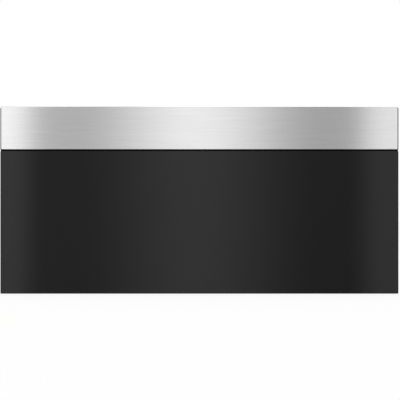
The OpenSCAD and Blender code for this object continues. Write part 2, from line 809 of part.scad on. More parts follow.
module housing_top() color([0.72, 0.73, 0.74]) difference() {
    union() {
        block([-body_w / 2, y_shell, shell_high], [body_w / 2, y_rear_in - 2 * sheet_t, body_top]);
        along_x(-fold_x, fold_x) translate([y_rear_in, body_top])
            rotate(180) angle_profile(fold_w, fold_w, sheet_t, 2 * sheet_t);
        for (x = top_bead_x) on_top(x) bead_back();
    }
    for (x = top_bead_x) on_top(x) bead_hollow();
    for (x = rear_screw_x) hole_y(x, rear_screw_z[1], screw_hole, y_rear_in - sheet_t);
}

module housing_side(s) color([0.72, 0.73, 0.74]) on_side(s) {
    front_fold = collar_side - collar_t - 2 * sheet_t;
    difference() {
        union() {
            along_y(y_shell, y_rear_in) translate([body_w / 2, shell_mid])
                rotate(180) channel_profile(shell_high - shell_low, fold_w, sheet_t, 2 * sheet_t);
            block([shell_x - front_fold, y_shell, shell_low + 3 * sheet_t],
                  [shell_x + sheet_t / 2, y_shell + sheet_t, shell_high - 3 * sheet_t]);
            for (z = side_bead_z) on_flank(z) bead_back();
        }
        for (z = side_bead_z) on_flank(z) bead_hollow();
    }
}

module housing_rear() color([0.72, 0.73, 0.74]) difference() {
    along_y(y_rear_in, y_rear) difference() {
        square_between([-body_w / 2, foot_h], [body_w / 2, body_top]);
        for (s = [-1, 1], i = [0:vents - 1])
            slot_2d(s * (vent_x + i * vent_pitch), vent_low, vent_high, vent_w);
    }
    for (x = rear_screw_x, z = rear_screw_z) hole_y(x, z, screw_hole, y_rear_in);
    for (p = board_holes) hole_y(p.x, p.y, screw_hole, y_rear_in);
    hole_y(gland_x, gland_z, gland_stem + 2 * hole_play, y_rear_in);
}

// Frame around the front of the housing, which screws to the cabinet and meets the gasket
module front_collar() color([0.7, 0.7, 0.71]) {
    wing_x = body_w / 2 + collar_wing;
    difference() {
        union() {
            along_y(y_collar, y_shell) round_rect([-wing_x, foot_h], [wing_x, body_top], carrier_corner);
            along_y(y_collar, y_collar + collar_return)
                round_rect([-opening_x - collar_t, opening_low - collar_t],
                           [opening_x + collar_t, opening_high + collar_t], collar_corner + collar_t);
        }
        along_y(y_collar - cut, y_collar + collar_return + cut)
            round_rect([-opening_x, opening_low], [opening_x, opening_high], collar_corner);
        for (s = [-1, 1], k = [-1, 1]) hole_y(s * (body_w + collar_wing) / 2,
            shell_mid + k * cabinet_hole_span / 2, cabinet_hole_d, y_collar, collar_t);
    }
}

// Places its children at the four glide feet, on the shelf
module at_feet() for (s = [-1, 1], y = [y_collar + foot_in, y_rear - foot_in])
    translate([s * (body_w / 2 - foot_in), y, 0]) children();

module glide_feet() color([0.15, 0.15, 0.15]) at_feet() rotate_extrude() polygon([
    [0, 0], [foot_d / 2 - foot_edge, 0], [foot_d / 2, foot_edge],
    [foot_d / 2, foot_h], [foot_stem / 2, foot_h],
    [foot_stem / 2, shell_low], [foot_stem / 2 + foot_barb, shell_low],
    [foot_stem / 2, shell_low + foot_barb], [0, shell_low + foot_barb]
]);

// Places its children at the latch's screws, in the middle of the base sheet
module at_latch_screws() for (s = [-1, 1])
    translate([s * latch_screw_x, latch_y0 + latch_l / 2, foot_h + sheet_t / 2]) children();

// Screws of the rear panel, the power board and the latch
module housing_screws() color([0.8, 0.8, 0.8]) {
    for (x = rear_screw_x, z = rear_screw_z) screw_y(x, z, y_rear, sheet_t + rear_bite);
    for (p = board_holes) screw_y(p.x, p.y, y_rear, sheet_t + rear_bite);
    at_latch_screws() translate([0, 0, sheet_t / 2 + latch_ear]) rotate([90, 0, 0])
        screw_y(0, 0, 0, latch_ear + 2 * sheet_t);
}

// ---------- Runners ----------

// Extrudes a profile of the runner's section on the right side
module runner_section(y0, y1) translate([crown_x, 0, runner_z]) mirror([1, 0, 0]) along_y(y0, y1) children();

module runner_bracket(s) color([0.7, 0.71, 0.72]) on_side(s) runner_section(runner_y, runner_y + runner_len)
    mirror([1, 0]) hat_profile(runner_h - 4 * bracket_t, bracket_depth, bracket_t, 2 * bracket_t);

module runner_outer(s) color([0.66, 0.67, 0.68]) on_side(s) runner_section(runner_y, runner_y + runner_len)
    difference() {
        channel_profile(runner_h, lip_u, runner_steel, runner_bend);
        for (k = [-1, 1]) translate([ball_u, k * ball_w_out]) circle(race_r);
    }

module runner_middle(s) color([0.66, 0.67, 0.68]) on_side(s) runner_section(runner_y, runner_y + runner_len)
    difference() {
        translate([u_middle, 0]) channel_profile(middle_h, lip_u - u_middle, runner_steel, runner_bend);
        for (k = [-1, 1], w = [ball_w_out, ball_w_in]) translate([ball_u, k * w]) circle(race_r);
    }

module runner_inner(s) color([0.66, 0.67, 0.68]) difference() {
    on_side(s) runner_section(runner_y, runner_y + runner_len) difference() {
        translate([runner_t, 0]) mirror([1, 0])
            channel_profile(inner_h, runner_t - u_inner, runner_steel, runner_bend);
        for (k = [-1, 1]) translate([ball_u, k * ball_w_in]) circle(race_r);
    }
    for (y = pan_screw_y) at_pan_screw(s, y) rod_y(0, 0, screw_hole, -cut, runner_steel + cut);
}

// Cage between two members, with its two rows of balls
module ball_cage(s, u, w) on_side(s) {
    color([0.85, 0.83, 0.75]) difference() {
        runner_section(cage_y, cage_y + cage_len)
            translate([u, 0]) channel_profile(2 * w + cage_t, cage_reach - u, cage_t, 2 * cage_t);
        at_balls() cylinder(d = ball_d + 2 * cage_play, h = 2 * w + 2 * cut, center = true);
    }
    color([0.9, 0.9, 0.9]) for (k = [-1, 1]) at_balls() translate([0, 0, k * w]) sphere(d = ball_d);
}
module at_balls() for (i = [0:balls_per_row - 1])
    translate([crown_x - ball_u, cage_y + (i + 0.5) * ball_pitch, runner_z]) children();

// ---------- Air unit ----------

// Sheet across the housing with its side edges folded to the rear, and cut clear of the side panels' bends
module cross_panel(y) {
    low = shell_low + sheet_t;
    high = shell_high - sheet_t;
    intersection() {
        along_z(low, high) translate([0, y]) rotate(90)
            channel_profile(2 * shell_x, fold_w - panel_set_back, sheet_t, 2 * sheet_t);
        along_y(y, y + fold_w) chamfer_rect([-shell_x, low], [shell_x, high], 2 * sheet_t);
    }
}

module air_baffle() color([0.74, 0.74, 0.74]) difference() {
    cross_panel(y_baffle);
    along_y(y_baffle - cut, y_chamber + cut) {
        translate([0, fan_z]) circle(d = intake_hole_d);
        for (ring = [1:intake_rings], i = [0:6 * ring - 1]) translate([0, fan_z])
            rotate(60 * i / ring) translate([0, intake_pitch * ring]) circle(d = intake_hole_d);
        outlet_pattern();
    }
}

module fan_partition() color([0.72, 0.73, 0.74]) difference() {
    cross_panel(y_partition);
    hole_y(0, fan_z, bearing_d + 2 * cut, y_partition);
    hole_y(probe_x, fan_z, probe_d + 2 * hole_play, y_partition);
    for (s = [-1, 1]) {
        hole_y(s * stud_x, fan_z, stud_d + 2 * hole_play, y_partition);
        on_side(s) at_heater_end() at_heater_leg() cylinder(d = heater_d + 2 * hole_play, h = 2 * chamber_d);
    }
}

// Places its children at the right end of the heating ring: the ring ends towards -X, the rear is +Y
module at_heater_end()
    translate([heater_r * sin(heater_gap_angle), heater_y, fan_z - heater_r * cos(heater_gap_angle)])
    rotate([0, -heater_gap_angle, 0]) children();

// From there, places its children at the start of the straight leg, which runs along their +Z
module at_heater_leg() translate([-leg_bend, leg_bend, 0]) rotate([-90, 0, 0]) children();

module heater_element() color([0.45, 0.43, 0.42]) {
    translate([0, heater_y, fan_z]) rotate([90, 0, 0]) rotate(heater_gap_angle - 90)
        rotate_extrude(angle = 360 - 2 * heater_gap_angle) translate([heater_r, 0]) circle(d = heater_d);
    for (s = [-1, 1]) on_side(s) at_heater_end() {
        rotate([0, 90, 0]) cylinder(d = heater_d + collar_wall, h = collar_l, center = true);
        translate([0, leg_bend, 0]) rotate(180)
            rotate_extrude(angle = 90) translate([leg_bend, 0]) circle(d = heater_d);
        at_heater_leg() cylinder(d = heater_d, h = y_motor + leg_out - heater_y - leg_bend);
        at_heater_leg() translate([0, 0, y_partition - heater_y - leg_bend - heater_flange_t])
            cylinder(d = 2 * heater_d, h = heater_flange_t);
    }
}

module fan_wheel() color([0.7, 0.71, 0.72]) difference() {
    blade_w = fan_d / 5;
    union() {
        rod_y(0, fan_z, fan_d, y_wheel - disc_t, y_wheel);
        rod_y(0, fan_z, hub_d, y_wheel - hub_l, y_wheel);
        intersection() {
            rod_y(0, fan_z, fan_d, y_wheel - blade_depth, y_wheel);
            along_y(y_wheel - blade_depth, y_wheel) for (i = [0:fan_blades - 1]) translate([0, fan_z])
                rotate(i * 360 / fan_blades) translate([fan_d / 2 - blade_w / 2, 0])
                    rotate(blade_pitch) square([1.1 * blade_w, disc_t], center = true);
        }
    }
    rod_y(0, fan_z, shaft_d + 2 * run_play, y_wheel - hub_l - cut, y_wheel + cut);
}

module fan_nut() color([0.75, 0.75, 0.76])
    nut_y(0, fan_z, fan_nut_w, shaft_d + 2 * run_play, y_wheel - hub_l - fan_nut_h, y_wheel - hub_l);

module fan_shaft() color([0.6, 0.6, 0.62])
    rod_y(0, fan_z, shaft_d, y_wheel - hub_l - fan_nut_h - shaft_end,
        y_bracket_rear + motor_bracket_t + bearing_l + shaft_end);

module motor_rotor() color([0.55, 0.55, 0.56]) difference() {
    rod_y(0, fan_z, rotor_d, y_stator, y_bracket_rear - seat_gap);
    rod_y(0, fan_z, shaft_d + 2 * run_play, y_stator - cut, y_bracket_rear + cut);
}

module motor_stator() color([0.4, 0.4, 0.42]) difference() {
    along_y(y_stator, y_bracket_rear) difference() {
        chamfer_rect([-stator_w / 2, stator_low], [stator_w / 2, stator_high], stator_corner);
        square_between([-coil_x - window_play, window_low], [coil_x + window_play, limb_low]);
        translate([0, fan_z]) {
            circle(d = rotor_d + 2 * air_gap);
            for (a = [40, 220]) rotate(a) translate([rotor_d / 2, 0])
                square([pole_notch, pole_notch / 2], center = true);
        }
    }
    for (s = [-1, 1]) hole_y(s * stud_x, fan_z, stud_d + 2 * hole_play, y_stator, stator_l);
}

// Loop around the upper limb of the stator
module limb_loop(x0, x1, wall, r) along_x(x0, x1) difference() {
    round_rect([y_stator - wall, limb_low - wall], [y_bracket_rear + wall, stator_high + wall], r);
    square_between([y_stator - seat_gap, limb_low - seat_gap],
                   [y_bracket_rear + seat_gap, stator_high + seat_gap]);
}

// Winding between the flanges of its bobbin
module motor_coil() {
    color([0.72, 0.42, 0.2]) limb_loop(-coil_x, coil_x, coil_wall, coil_wall / 3);
    color([0.85, 0.83, 0.75]) for (x = [-coil_x - bobbin_t, coil_x])
        limb_loop(x, x + bobbin_t, coil_wall + 1, 1);
}

// Bearing plate of the motor, whose boss points towards -Y
module bearing_plate(y) color([0.62, 0.62, 0.63]) difference() {
    union() {
        along_y(y, y + motor_bracket_t) translate([0, fan_z]) {
            circle(d = bearing_d + stud_d);
            round_rect([-stator_w / 2, -plate_arm / 2], [stator_w / 2, plate_arm / 2], plate_arm / 3);
        }
        rod_y(0, fan_z, bearing_d, y - bearing_l, y + motor_bracket_t);
    }
    rod_y(0, fan_z, shaft_d + 2 * run_play, y - bearing_l - cut, y + motor_bracket_t + cut);
    for (s = [-1, 1]) hole_y(s * stud_x, fan_z, stud_d + 2 * hole_play, y, motor_bracket_t);
}

module bearing_front() bearing_plate(y_stator - motor_bracket_t);
module bearing_rear() translate([0, 2 * y_bracket_rear + motor_bracket_t, 0]) mirror([0, 1, 0])
    bearing_plate(y_bracket_rear);

// Studs through the motor, with their spacing sleeves and nuts
module motor_studs() color([0.75, 0.75, 0.76]) for (s = [-1, 1]) {
    x = s * stud_x;
    y_end = y_bracket_rear + motor_bracket_t;
    rod_y(x, fan_z, stud_d, y_partition - nut_h, y_end + nut_h + stud_d / 2);
    rod_y(x, fan_z, 2 * stud_d, y_partition - nut_h, y_partition);
    difference() {
        rod_y(x, fan_z, 2 * stud_d, y_motor, y_motor + sleeve_l);
        rod_y(x, fan_z, stud_d + 2 * run_play, y_motor - cut, y_motor + sleeve_l + cut);
    }
    nut_y(x, fan_z, nut_w, stud_d + 2 * run_play, y_end, y_end + nut_h);
}

// Cut-out switch on the partition, with its two tabs
module thermal_cutout() color([0.8, 0.78, 0.74]) {
    ear = [0.8 * can_d, 0.4 * can_d];
    tab = [tab_w / 16, can_l, tab_w / 2];
    along_y(y_motor, y_motor + sheet_t) translate([cutout_x, cutout_z]) round_rect(-ear, ear, ear.y / 2);
    rod_y(cutout_x, cutout_z, can_d, y_motor, y_motor + can_l);
    for (s = [-1, 1]) translate([cutout_x + s * can_d / 4, y_motor + can_l, cutout_z]) block(-tab, tab);
}

module temperature_probe() color([0.7, 0.71, 0.72]) {
    rod_y(probe_x, fan_z, probe_d, y_partition - probe_l, y_motor + probe_d);
    translate([probe_x, y_motor, fan_z]) rotate([-90, 0, 0])
        cylinder(d = probe_nut_w, h = probe_d + cut, $fn = 6);
}

// ---------- Electrical parts ----------

module power_board() color([0.1, 0.35, 0.18]) along_y(y_board, y_board + board_t) difference() {
    round_rect([board_x, board_z], [board_x + board_w, board_z + board_h], board_edge / 3);
    for (p = board_holes) translate(p) circle(d = standoff_pin + 2 * hole_play);
}

// Standoffs with a snap pin through the board, drilled for the screws in the rear panel
module board_standoffs() color([0.9, 0.9, 0.88]) for (p = board_holes) difference() {
    union() {
        translate([p.x, y_board + board_t, p.y]) rotate([-90, 0, 0])
            cylinder(d = standoff_d / cos(30), h = standoff_l, $fn = 6);
        rod_y(p.x, p.y, standoff_pin, y_board - standoff_snap, y_board + board_t + cut);
        rod_y(p.x, p.y, 1.5 * standoff_pin, y_board - standoff_snap, y_board);
    }
    rod_y(p.x, p.y, screw_hole, y_rear_in - rear_bite - seat_gap, y_rear_in + cut);
}

// Place on the board, in shares of its width and height
function on_board(u, v) = [board_x + u * board_w, board_z + v * board_h];

// Box on the board between two places, standing h high towards the front
module part_box(u, v, h, r) along_y(y_board - h, y_board)
    round_rect(on_board(u[0], v[0]), on_board(u[1], v[1]), r);

// Parts soldered on the board: transformer, relays, capacitors, heat sink and plug sockets
module board_components() {
    color([0.2, 0.2, 0.22]) part_box([0.13, 0.39], [0.53, 0.86], transformer_h, 2 * board_t);
    color([0.1, 0.2, 0.5]) for (u = [0.44, 0.6]) part_box([u, u + 0.12], [0.64, 0.89], relay_h, board_t / 2);
    color([0.15, 0.15, 0.3]) for (u = [0.17, 0.28, 0.39], p = [on_board(u, 0.36)])
        rod_y(p.x, p.y, capacitor_d, y_board - capacitor_h, y_board);
    color([0.7, 0.7, 0.72]) {
        part_box([0.51, 0.74], [0.25, 0.28], sink_h, board_t / 4);
        for (i = [0:4])
            part_box([0.51 + 0.0525 * i, 0.53 + 0.0525 * i], [0.26, 0.44], sink_h, board_t / 4);
    }
    color([0.9, 0.9, 0.88]) for (i = [0:3])
        part_box([0.16 + 0.185 * i, 0.31 + 0.185 * i], [0.05, 0.13], socket_h, board_t / 4);
}

// Three-pole block, with a blind screw well at each end of a pole and a groove between the poles
module terminal_block() color([0.88, 0.87, 0.82]) difference() {
    half = [poles * pole_w / 2, block_h / 2];
    groove = pole_w / 12;
    y_top = y_rear_in - block_depth;
    block([block_x - half.x, y_top, gland_z - half.y], [block_x + half.x, y_rear_in, gland_z + half.y]);
    for (i = [0:poles - 1], k = [-1, 1]) rod_y(block_x + (i - 1) * pole_w, gland_z + k * pole_w / 2,
        pole_w / 2, y_top - cut, y_rear_in - pole_w / 2);
    for (i = [1:poles - 1]) translate([block_x - half.x + i * pole_w, 0, gland_z])
        block([-groove / 2, y_top - cut, -block_h], [groove / 2, y_top + pole_w / 3, block_h]);
}

// Gland through the rear panel, with its lock nut inside
module cable_gland() color([0.12, 0.12, 0.12]) {
    difference() {
        translate([gland_x, y_rear, gland_z]) rotate([-90, 0, 0]) rotate_extrude() polygon([
            [gland_bore / 2, -gland_in], [gland_stem / 2, -gland_in], [gland_stem / 2, 0], [gland_nut / 2, 0],
            [gland_nut / 2, gland_out / 2],
            [gland_bore / 2 + gland_wall, gland_out], [gland_bore / 2, gland_out]
        ]);
        rod_y(gland_x, gland_z, gland_bore, y_rear - gland_in - cut, y_rear + gland_out + cut);
    }
    nut_y(gland_x, gland_z, gland_nut, gland_stem + 2 * run_play, y_rear_in - gland_nut_t, y_rear_in);
}

// ---------- Latch ----------

// Body with two ears, bored for the plunger and the spring, and its round end plug
module latch_body() color([0.3, 0.3, 0.31]) {
    y_mid = latch_y0 + latch_l / 2;
    difference() {
        union() {
            along_y(latch_y0, latch_y1)
                round_rect([-latch_core / 2, shell_low],
                           [latch_core / 2, shell_low + latch_h], latch_ear / 2);
            along_z(shell_low, shell_low + latch_ear)
                round_rect([-latch_w / 2, y_mid - ear_l / 2], [latch_w / 2, y_mid + ear_l / 2], latch_ear);
        }
        rod_y(0, latch_z, plunger_d + 2 * run_play, latch_y0 - cut, latch_y1);
        rod_y(0, latch_z, chamber_d_latch, latch_y0 + latch_wall, latch_y1 + cut);
        at_latch_screws() cylinder(d = screw_hole, h = 2 * latch_ear + sheet_t, center = true);
        for (s = [-1, 1]) translate([s * latch_screw_x, y_mid, shell_low + latch_ear])
            cylinder(d = head_d + 2 * cut, h = latch_h);
    }
    rod_y(0, latch_z, chamber_d_latch - 2 * run_play, latch_y1 - latch_wall, latch_y1);
}

module latch_plunger() color([0.85, 0.85, 0.83]) {
    rod_y(0, latch_z, plunger_d, y_magnet + magnet_t, stop_y + stop_t);
    rod_y(0, latch_z, chamber_d_latch - 2 * seat_gap, stop_y, stop_y + stop_t);
}

module latch_magnet() color([0.5, 0.5, 0.52]) rod_y(0, latch_z, magnet_d, y_magnet, y_magnet + magnet_t);

// Spring between the plunger and the end plug, as one coil swept along a helix
module latch_spring() color([0.8, 0.8, 0.82]) {
    steps = 14;
    sides = 6;
    rings = spring_turns * steps;
    len = y_spring1 - y_spring0;
    points = [for (i = [0:rings], j = [0:sides - 1])
        let (a = 360 * i / steps, b = 360 * j / sides,
             r = spring_mean / 2 + spring_wire / 2 * cos(b))
        [r * cos(a), y_spring0 + len * i / rings + spring_wire / 2 * sin(b), latch_z + r * sin(a)]];
    ends = [[for (j = [0:sides - 1]) j], [for (j = [0:sides - 1]) rings * sides + sides - 1 - j]];
    skin = [for (i = [0:rings - 1], j = [0:sides - 1])
        let (a = i * sides + j, b = i * sides + (j + 1) % sides)
        [a, a + sides, b + sides, b]];
    polyhedron(points, concat(ends, skin));
}

// ---------- Assembly ----------

front_glass();
steel_strip();
strip_backer();
bonding_tape();
front_carrier();
front_stiffeners();
front_insulation();
inner_panel();
front_gasket();
control_console();
touch_strip();
control_tray();
control_board();
drawer_pan();
non_slip_mat();
drawer_screws();
latch_striker();
runner_inner(-1);  // runner_inner_left
runner_inner(1);  // runner_inner_right
runner_middle(-1);  // runner_middle_left
runner_middle(1);  // runner_middle_right
ball_cage(-1, u_cage_in, ball_w_in);  // cage_inner_left
ball_cage(1, u_cage_in, ball_w_in);  // cage_inner_right
ball_cage(-1, u_cage_out, ball_w_out);  // cage_outer_left
ball_cage(1, u_cage_out, ball_w_out);  // cage_outer_right
runner_outer(-1);  // runner_outer_left
runner_outer(1);  // runner_outer_right
runner_bracket(-1);  // runner_bracket_left
runner_bracket(1);  // runner_bracket_right
housing_base();
housing_top();
housing_side(-1);  // housing_side_left
housing_side(1);  // housing_side_right
housing_rear();
front_collar();
glide_feet();
housing_screws();
air_baffle();
fan_partition();
fan_wheel();
fan_nut();
fan_shaft();
motor_rotor();
motor_stator();
motor_coil();
bearing_front();
bearing_rear();
motor_studs();
heater_element();
thermal_cutout();
temperature_probe();
power_board();
board_components();
board_standoffs();
terminal_block();
cable_gland();
latch_body();
latch_plunger();
latch_magnet();
latch_spring();
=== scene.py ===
import math

import bmesh
import bpy
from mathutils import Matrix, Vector, noise


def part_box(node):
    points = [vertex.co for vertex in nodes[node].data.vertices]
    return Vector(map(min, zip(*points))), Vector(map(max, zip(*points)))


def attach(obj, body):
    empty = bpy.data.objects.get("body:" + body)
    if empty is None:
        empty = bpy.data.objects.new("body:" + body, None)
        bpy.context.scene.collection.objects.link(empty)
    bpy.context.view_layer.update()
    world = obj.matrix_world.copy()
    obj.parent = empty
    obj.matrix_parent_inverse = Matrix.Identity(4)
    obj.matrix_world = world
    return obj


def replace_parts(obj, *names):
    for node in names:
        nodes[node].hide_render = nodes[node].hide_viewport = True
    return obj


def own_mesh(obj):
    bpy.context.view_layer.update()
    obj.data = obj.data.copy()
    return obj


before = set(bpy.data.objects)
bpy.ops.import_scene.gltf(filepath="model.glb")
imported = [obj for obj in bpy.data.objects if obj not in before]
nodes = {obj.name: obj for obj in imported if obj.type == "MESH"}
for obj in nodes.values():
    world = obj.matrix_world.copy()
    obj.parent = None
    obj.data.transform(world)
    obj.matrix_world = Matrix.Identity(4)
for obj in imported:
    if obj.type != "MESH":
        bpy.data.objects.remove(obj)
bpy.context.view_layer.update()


def linear(hexColour):
    # sRGB hex to the linear RGBA that a socket takes
    channels = [int(hexColour[i:i + 2], 16) / 255 for i in (1, 3, 5)]
    return [c / 12.92 if c <= 0.04045 else ((c + 0.055) / 1.055) ** 2.4 for c in channels] + [1.0]


def addNode(tree, kind, inputs=None, **settings):
    # one node; an input takes a plain value or another node's output
    # a Mix node's inputs go by number: 2 and 3 are values, 4 and 5 vectors, 6 and 7 colours
    node = tree.nodes.new(kind)
    for name, value in settings.items():
        setattr(node, name, value)
    for key, value in (inputs or {}).items():
        if isinstance(value, bpy.types.NodeSocket):
            tree.links.new(value, node.inputs[key])
        else:
            node.inputs[key].default_value = value
    return node


def emptyTree(owner):
    # cleared node tree of a material or a world
    owner.use_nodes = True
    owner.node_tree.nodes.clear()
    return owner.node_tree


def meshObject(name, vertices, faces, material=None):
    mesh = bpy.data.meshes.new(name)
    mesh.from_pydata([tuple(v) for v in vertices], [], faces)
    mesh.update()
    thing = bpy.data.objects.new(name, mesh)
    bpy.context.scene.collection.objects.link(thing)
    if material:
        mesh.materials.append(material)
    return thing


studio = {
    "lens": 135.0,               # long lens: the photo shows the front nearly without perspective
    "eye": (0.00114, -3.144, 0.18011),
    "worldLevel": 0.62,          # soft light that diffuse surfaces get from all round
    "lampAim": (0, 0, 0.15),
    "floorHalf": 9,
    "floorPale": "#f4f4f2",
    "floorDark": "#f1f1ef",
    "floorPatches": 9.0,         # a metre
    "floorGlow": 0.9,            # share of the floor that reads as plain white background
    "flagLevel": 0.5,
}
white = linear("#ffffff")

camera = bpy.data.objects.new("camera", bpy.data.cameras.new("camera"))
camera.data.lens = studio["lens"]
camera.data.sensor_width = 36.0
camera.data.clip_end = 50.0
camera.location = studio["eye"]
camera.rotation_euler = (math.radians(90), 0, 0)
bpy.context.scene.collection.objects.link(camera)
bpy.context.scene.camera = camera
bpy.context.scene.view_settings.view_transform = "Standard"


def seesBackground(tree):
    # 1 for camera, glossy and transmission rays, which see the white background
    rays = addNode(tree, "ShaderNodeLightPath").outputs
    either = addNode(tree, "ShaderNodeMath", {0: rays["Is Camera Ray"], 1: rays["Is Glossy Ray"]},
                     operation="MAXIMUM")
    return addNode(tree, "ShaderNodeMath", {0: either.outputs[0], 1: rays["Is Transmission Ray"]},
                   operation="MAXIMUM").outputs[0]


world = bpy.data.worlds.new("studioWorld")
bpy.context.scene.world = world
tree = emptyTree(world)
level = addNode(tree, "ShaderNodeMapRange", {
    "Value": seesBackground(tree), "To Min": studio["worldLevel"], "To Max": 1.0})
sky = addNode(tree, "ShaderNodeBackground", {"Color": white, "Strength": level.outputs["Result"]})
addNode(tree, "ShaderNodeOutputWorld", {"Surface": sky.outputs[0]})

# large soft lamps, at a level where a colour renders about as it is written
lamps = {
    "key": {"at": (-1.6, -2.4, 2.2), "size": 2.0, "power": 26.0},
    "fill": {"at": (2.0, -1.8, 1.5), "size": 2.0, "power": 12.0},
    "top": {"at": (0.2, 0.95, 2.6), "size": 2.3, "power": 20.0},
    "back": {"at": (-0.8, 2.8, 1.8), "size": 2.0, "power": 14.0},
}
for name, lamp in lamps.items():
    light = bpy.data.lights.new(name, "AREA")
    light.size = lamp["size"]
    light.energy = lamp["power"]
    thing = bpy.data.objects.new(name, light)
    thing.location = lamp["at"]
    toAim = Vector(studio["lampAim"]) - Vector(lamp["at"])
    thing.rotation_euler = toAim.to_track_quat("-Z", "Y").to_euler()
    bpy.context.scene.collection.objects.link(thing)

floorPaint = bpy.data.materials.new("matt studio floor")   # pale painted board, no gloss
tree = emptyTree(floorPaint)
seen = seesBackground(tree)
grain = addNode(tree, "ShaderNodeTexNoise", {"Scale": studio["floorPatches"], "Detail": 3.0})
tone = addNode(tree, "ShaderNodeMix", {
    0: grain.outputs["Fac"], 6: linear(studio["floorDark"]), 7: linear(studio["floorPale"])},
    data_type="RGBA")
matt = addNode(tree, "ShaderNodeBsdfDiffuse", {"Color": tone.outputs[2]})
glow = addNode(tree, "ShaderNodeEmission", {"Color": white, "Strength": 1.0})
share = addNode(tree, "ShaderNodeMath", {0: seen, 1: studio["floorGlow"]}, operation="MULTIPLY")
mixed = addNode(tree, "ShaderNodeMixShader", {0: share.outputs[0], 1: matt.outputs[0], 2: glow.outputs[0]})
addNode(tree, "ShaderNodeOutputMaterial", {"Surface": mixed.outputs[0]})
half = studio["floorHalf"]
floorCorners = [(-half, -half, 0), (half, -half, 0), (half, half, 0), (-half, half, 0)]
floor = meshObject("studioFloor", floorCorners, [(0, 1, 2, 3)], floorPaint)

# Reflector card in front of the object: a cove whose brightness changes across its width and
# fades towards the foot, which gives steel and glass the soft light and dark bands of the photo.
card = {
    "start": -0.30, "bend": -1.15, "radius": 0.34, "top": 2.4, "halfWidth": 2.6,
    "lift": 0.0006,              # above the floor
    "arcSteps": 8,
    "eyeDistance": 2.859,        # from the lens to the drawer front, for the spread of the bands
    "face": -0.285,
    "frontHeight": 0.357,
    "level": 0.612,
    "tilt": -0.2,                # change of level per metre towards +X
    "tiltReach": 0.6,
    "fade": 0.91,                # share of the light that is left at the foot of the drawer front
    "washes": [                  # on the drawer front in metres: centre, full within, gone beyond, strength
        (-1.500, 1.137, 1.206, 0.775),
        (-0.005, 0.0, 0.238, 0.74),
        (1.500, 1.148, 1.219, 0.685),
    ],
}
profile = [(card["start"], card["lift"]), (card["bend"], card["lift"])]
for i in range(1, card["arcSteps"] + 1):
    turn = math.radians(90 * i / card["arcSteps"])
    profile.append((card["bend"] - card["radius"] * math.sin(turn),
                    card["lift"] + card["radius"] * (1 - math.cos(turn))))
profile.append((card["bend"] - card["radius"], card["top"]))
corners = [(s * card["halfWidth"], y, z) for y, z in profile for s in (-1, 1)]
quads = [(2 * i, 2 * i + 2, 2 * i + 3, 2 * i + 1) for i in range(len(profile) - 1)]
cardLight = bpy.data.materials.new("graded reflector card")
tree = emptyTree(cardLight)
where = addNode(tree, "ShaderNodeSeparateXYZ", {0: addNode(tree, "ShaderNodeTexCoord").outputs["Object"]})
# across and height: the point of the drawer front that mirrors this point of the card to the lens
reach = addNode(tree, "ShaderNodeMath", {
    0: card["eyeDistance"] + card["face"], 1: where.outputs["Y"]}, operation="SUBTRACT")
narrow = addNode(tree, "ShaderNodeMath", {
    0: card["eyeDistance"], 1: reach.outputs[0]}, operation="DIVIDE").outputs[0]
across = addNode(tree, "ShaderNodeMath", {0: where.outputs["X"], 1: narrow}, operation="MULTIPLY").outputs[0]
eyeHeight = studio["eye"][2]
below = addNode(tree, "ShaderNodeMath", {0: where.outputs["Z"], 1: eyeHeight}, operation="SUBTRACT")
height = addNode(tree, "ShaderNodeMath", {
    0: below.outputs[0], 1: narrow, 2: eyeHeight}, operation="MULTIPLY_ADD")
inner = addNode(tree, "ShaderNodeClamp", {
    "Value": across, "Min": -card["tiltReach"], "Max": card["tiltReach"]})
total = addNode(tree, "ShaderNodeMath", {
    0: inner.outputs[0], 1: card["tilt"], 2: card["level"]}, operation="MULTIPLY_ADD").outputs[0]
for centre, full, gone, strength in card["washes"]:
    offset = addNode(tree, "ShaderNodeMath", {0: across, 1: centre}, operation="SUBTRACT")
    away = addNode(tree, "ShaderNodeMath", {0: offset.outputs[0]}, operation="ABSOLUTE")
    wash = addNode(tree, "ShaderNodeMapRange", {
        "Value": away.outputs[0], "From Min": gone, "From Max": full, "To Min": 0.0, "To Max": strength},
        interpolation_type="SMOOTHSTEP")
    total = addNode(tree, "ShaderNodeMath", {0: wash.outputs["Result"], 1: total}, operation="ADD").outputs[0]
fade = addNode(tree, "ShaderNodeMapRange", {
    "Value": height.outputs[0], "From Max": card["frontHeight"], "To Min": card["fade"], "To Max": 1.0})
faded = addNode(tree, "ShaderNodeMath", {0: total, 1: fade.outputs["Result"]}, operation="MULTIPLY")
shine = addNode(tree, "ShaderNodeEmission", {"Color": white, "Strength": faded.outputs[0]})
addNode(tree, "ShaderNodeOutputMaterial", {"Surface": shine.outputs[0]})
reflector = meshObject("reflectorCard", corners, quads, cardLight)
reflector.visible_camera = False
reflector.visible_diffuse = False
reflector.visible_shadow = False
reflector.visible_transmission = False

# Grey flags at both sides, behind and overhead, seen only in gloss, give polished edges their contrast
flags = {
    "left": [(-2.2, -0.3, 0.02), (-2.2, 1.6, 0.02), (-2.2, 1.6, 1.2), (-2.2, -0.3, 1.2)],
    "right": [(2.2, -0.1, 0.02), (2.2, 2.0, 0.02), (2.2, 2.0, 1.1), (2.2, -0.1, 1.1)],
    "rear": [(-1.5, 2.6, 0.02), (1.1, 2.6, 0.02), (1.1, 2.6, 1.2), (-1.5, 2.6, 1.2)],
    "overhead": [(-1.2, 0.6, 2.3), (-0.2, 0.6, 2.3), (-0.2, 2.2, 1.9), (-1.2, 2.2, 1.9)],
}
flagCloth = bpy.data.materials.new("grey flag cloth")
tree = emptyTree(flagCloth)
dim = addNode(tree, "ShaderNodeEmission", {"Color": white, "Strength": studio["flagLevel"]})
addNode(tree, "ShaderNodeOutputMaterial", {"Surface": dim.outputs[0]})
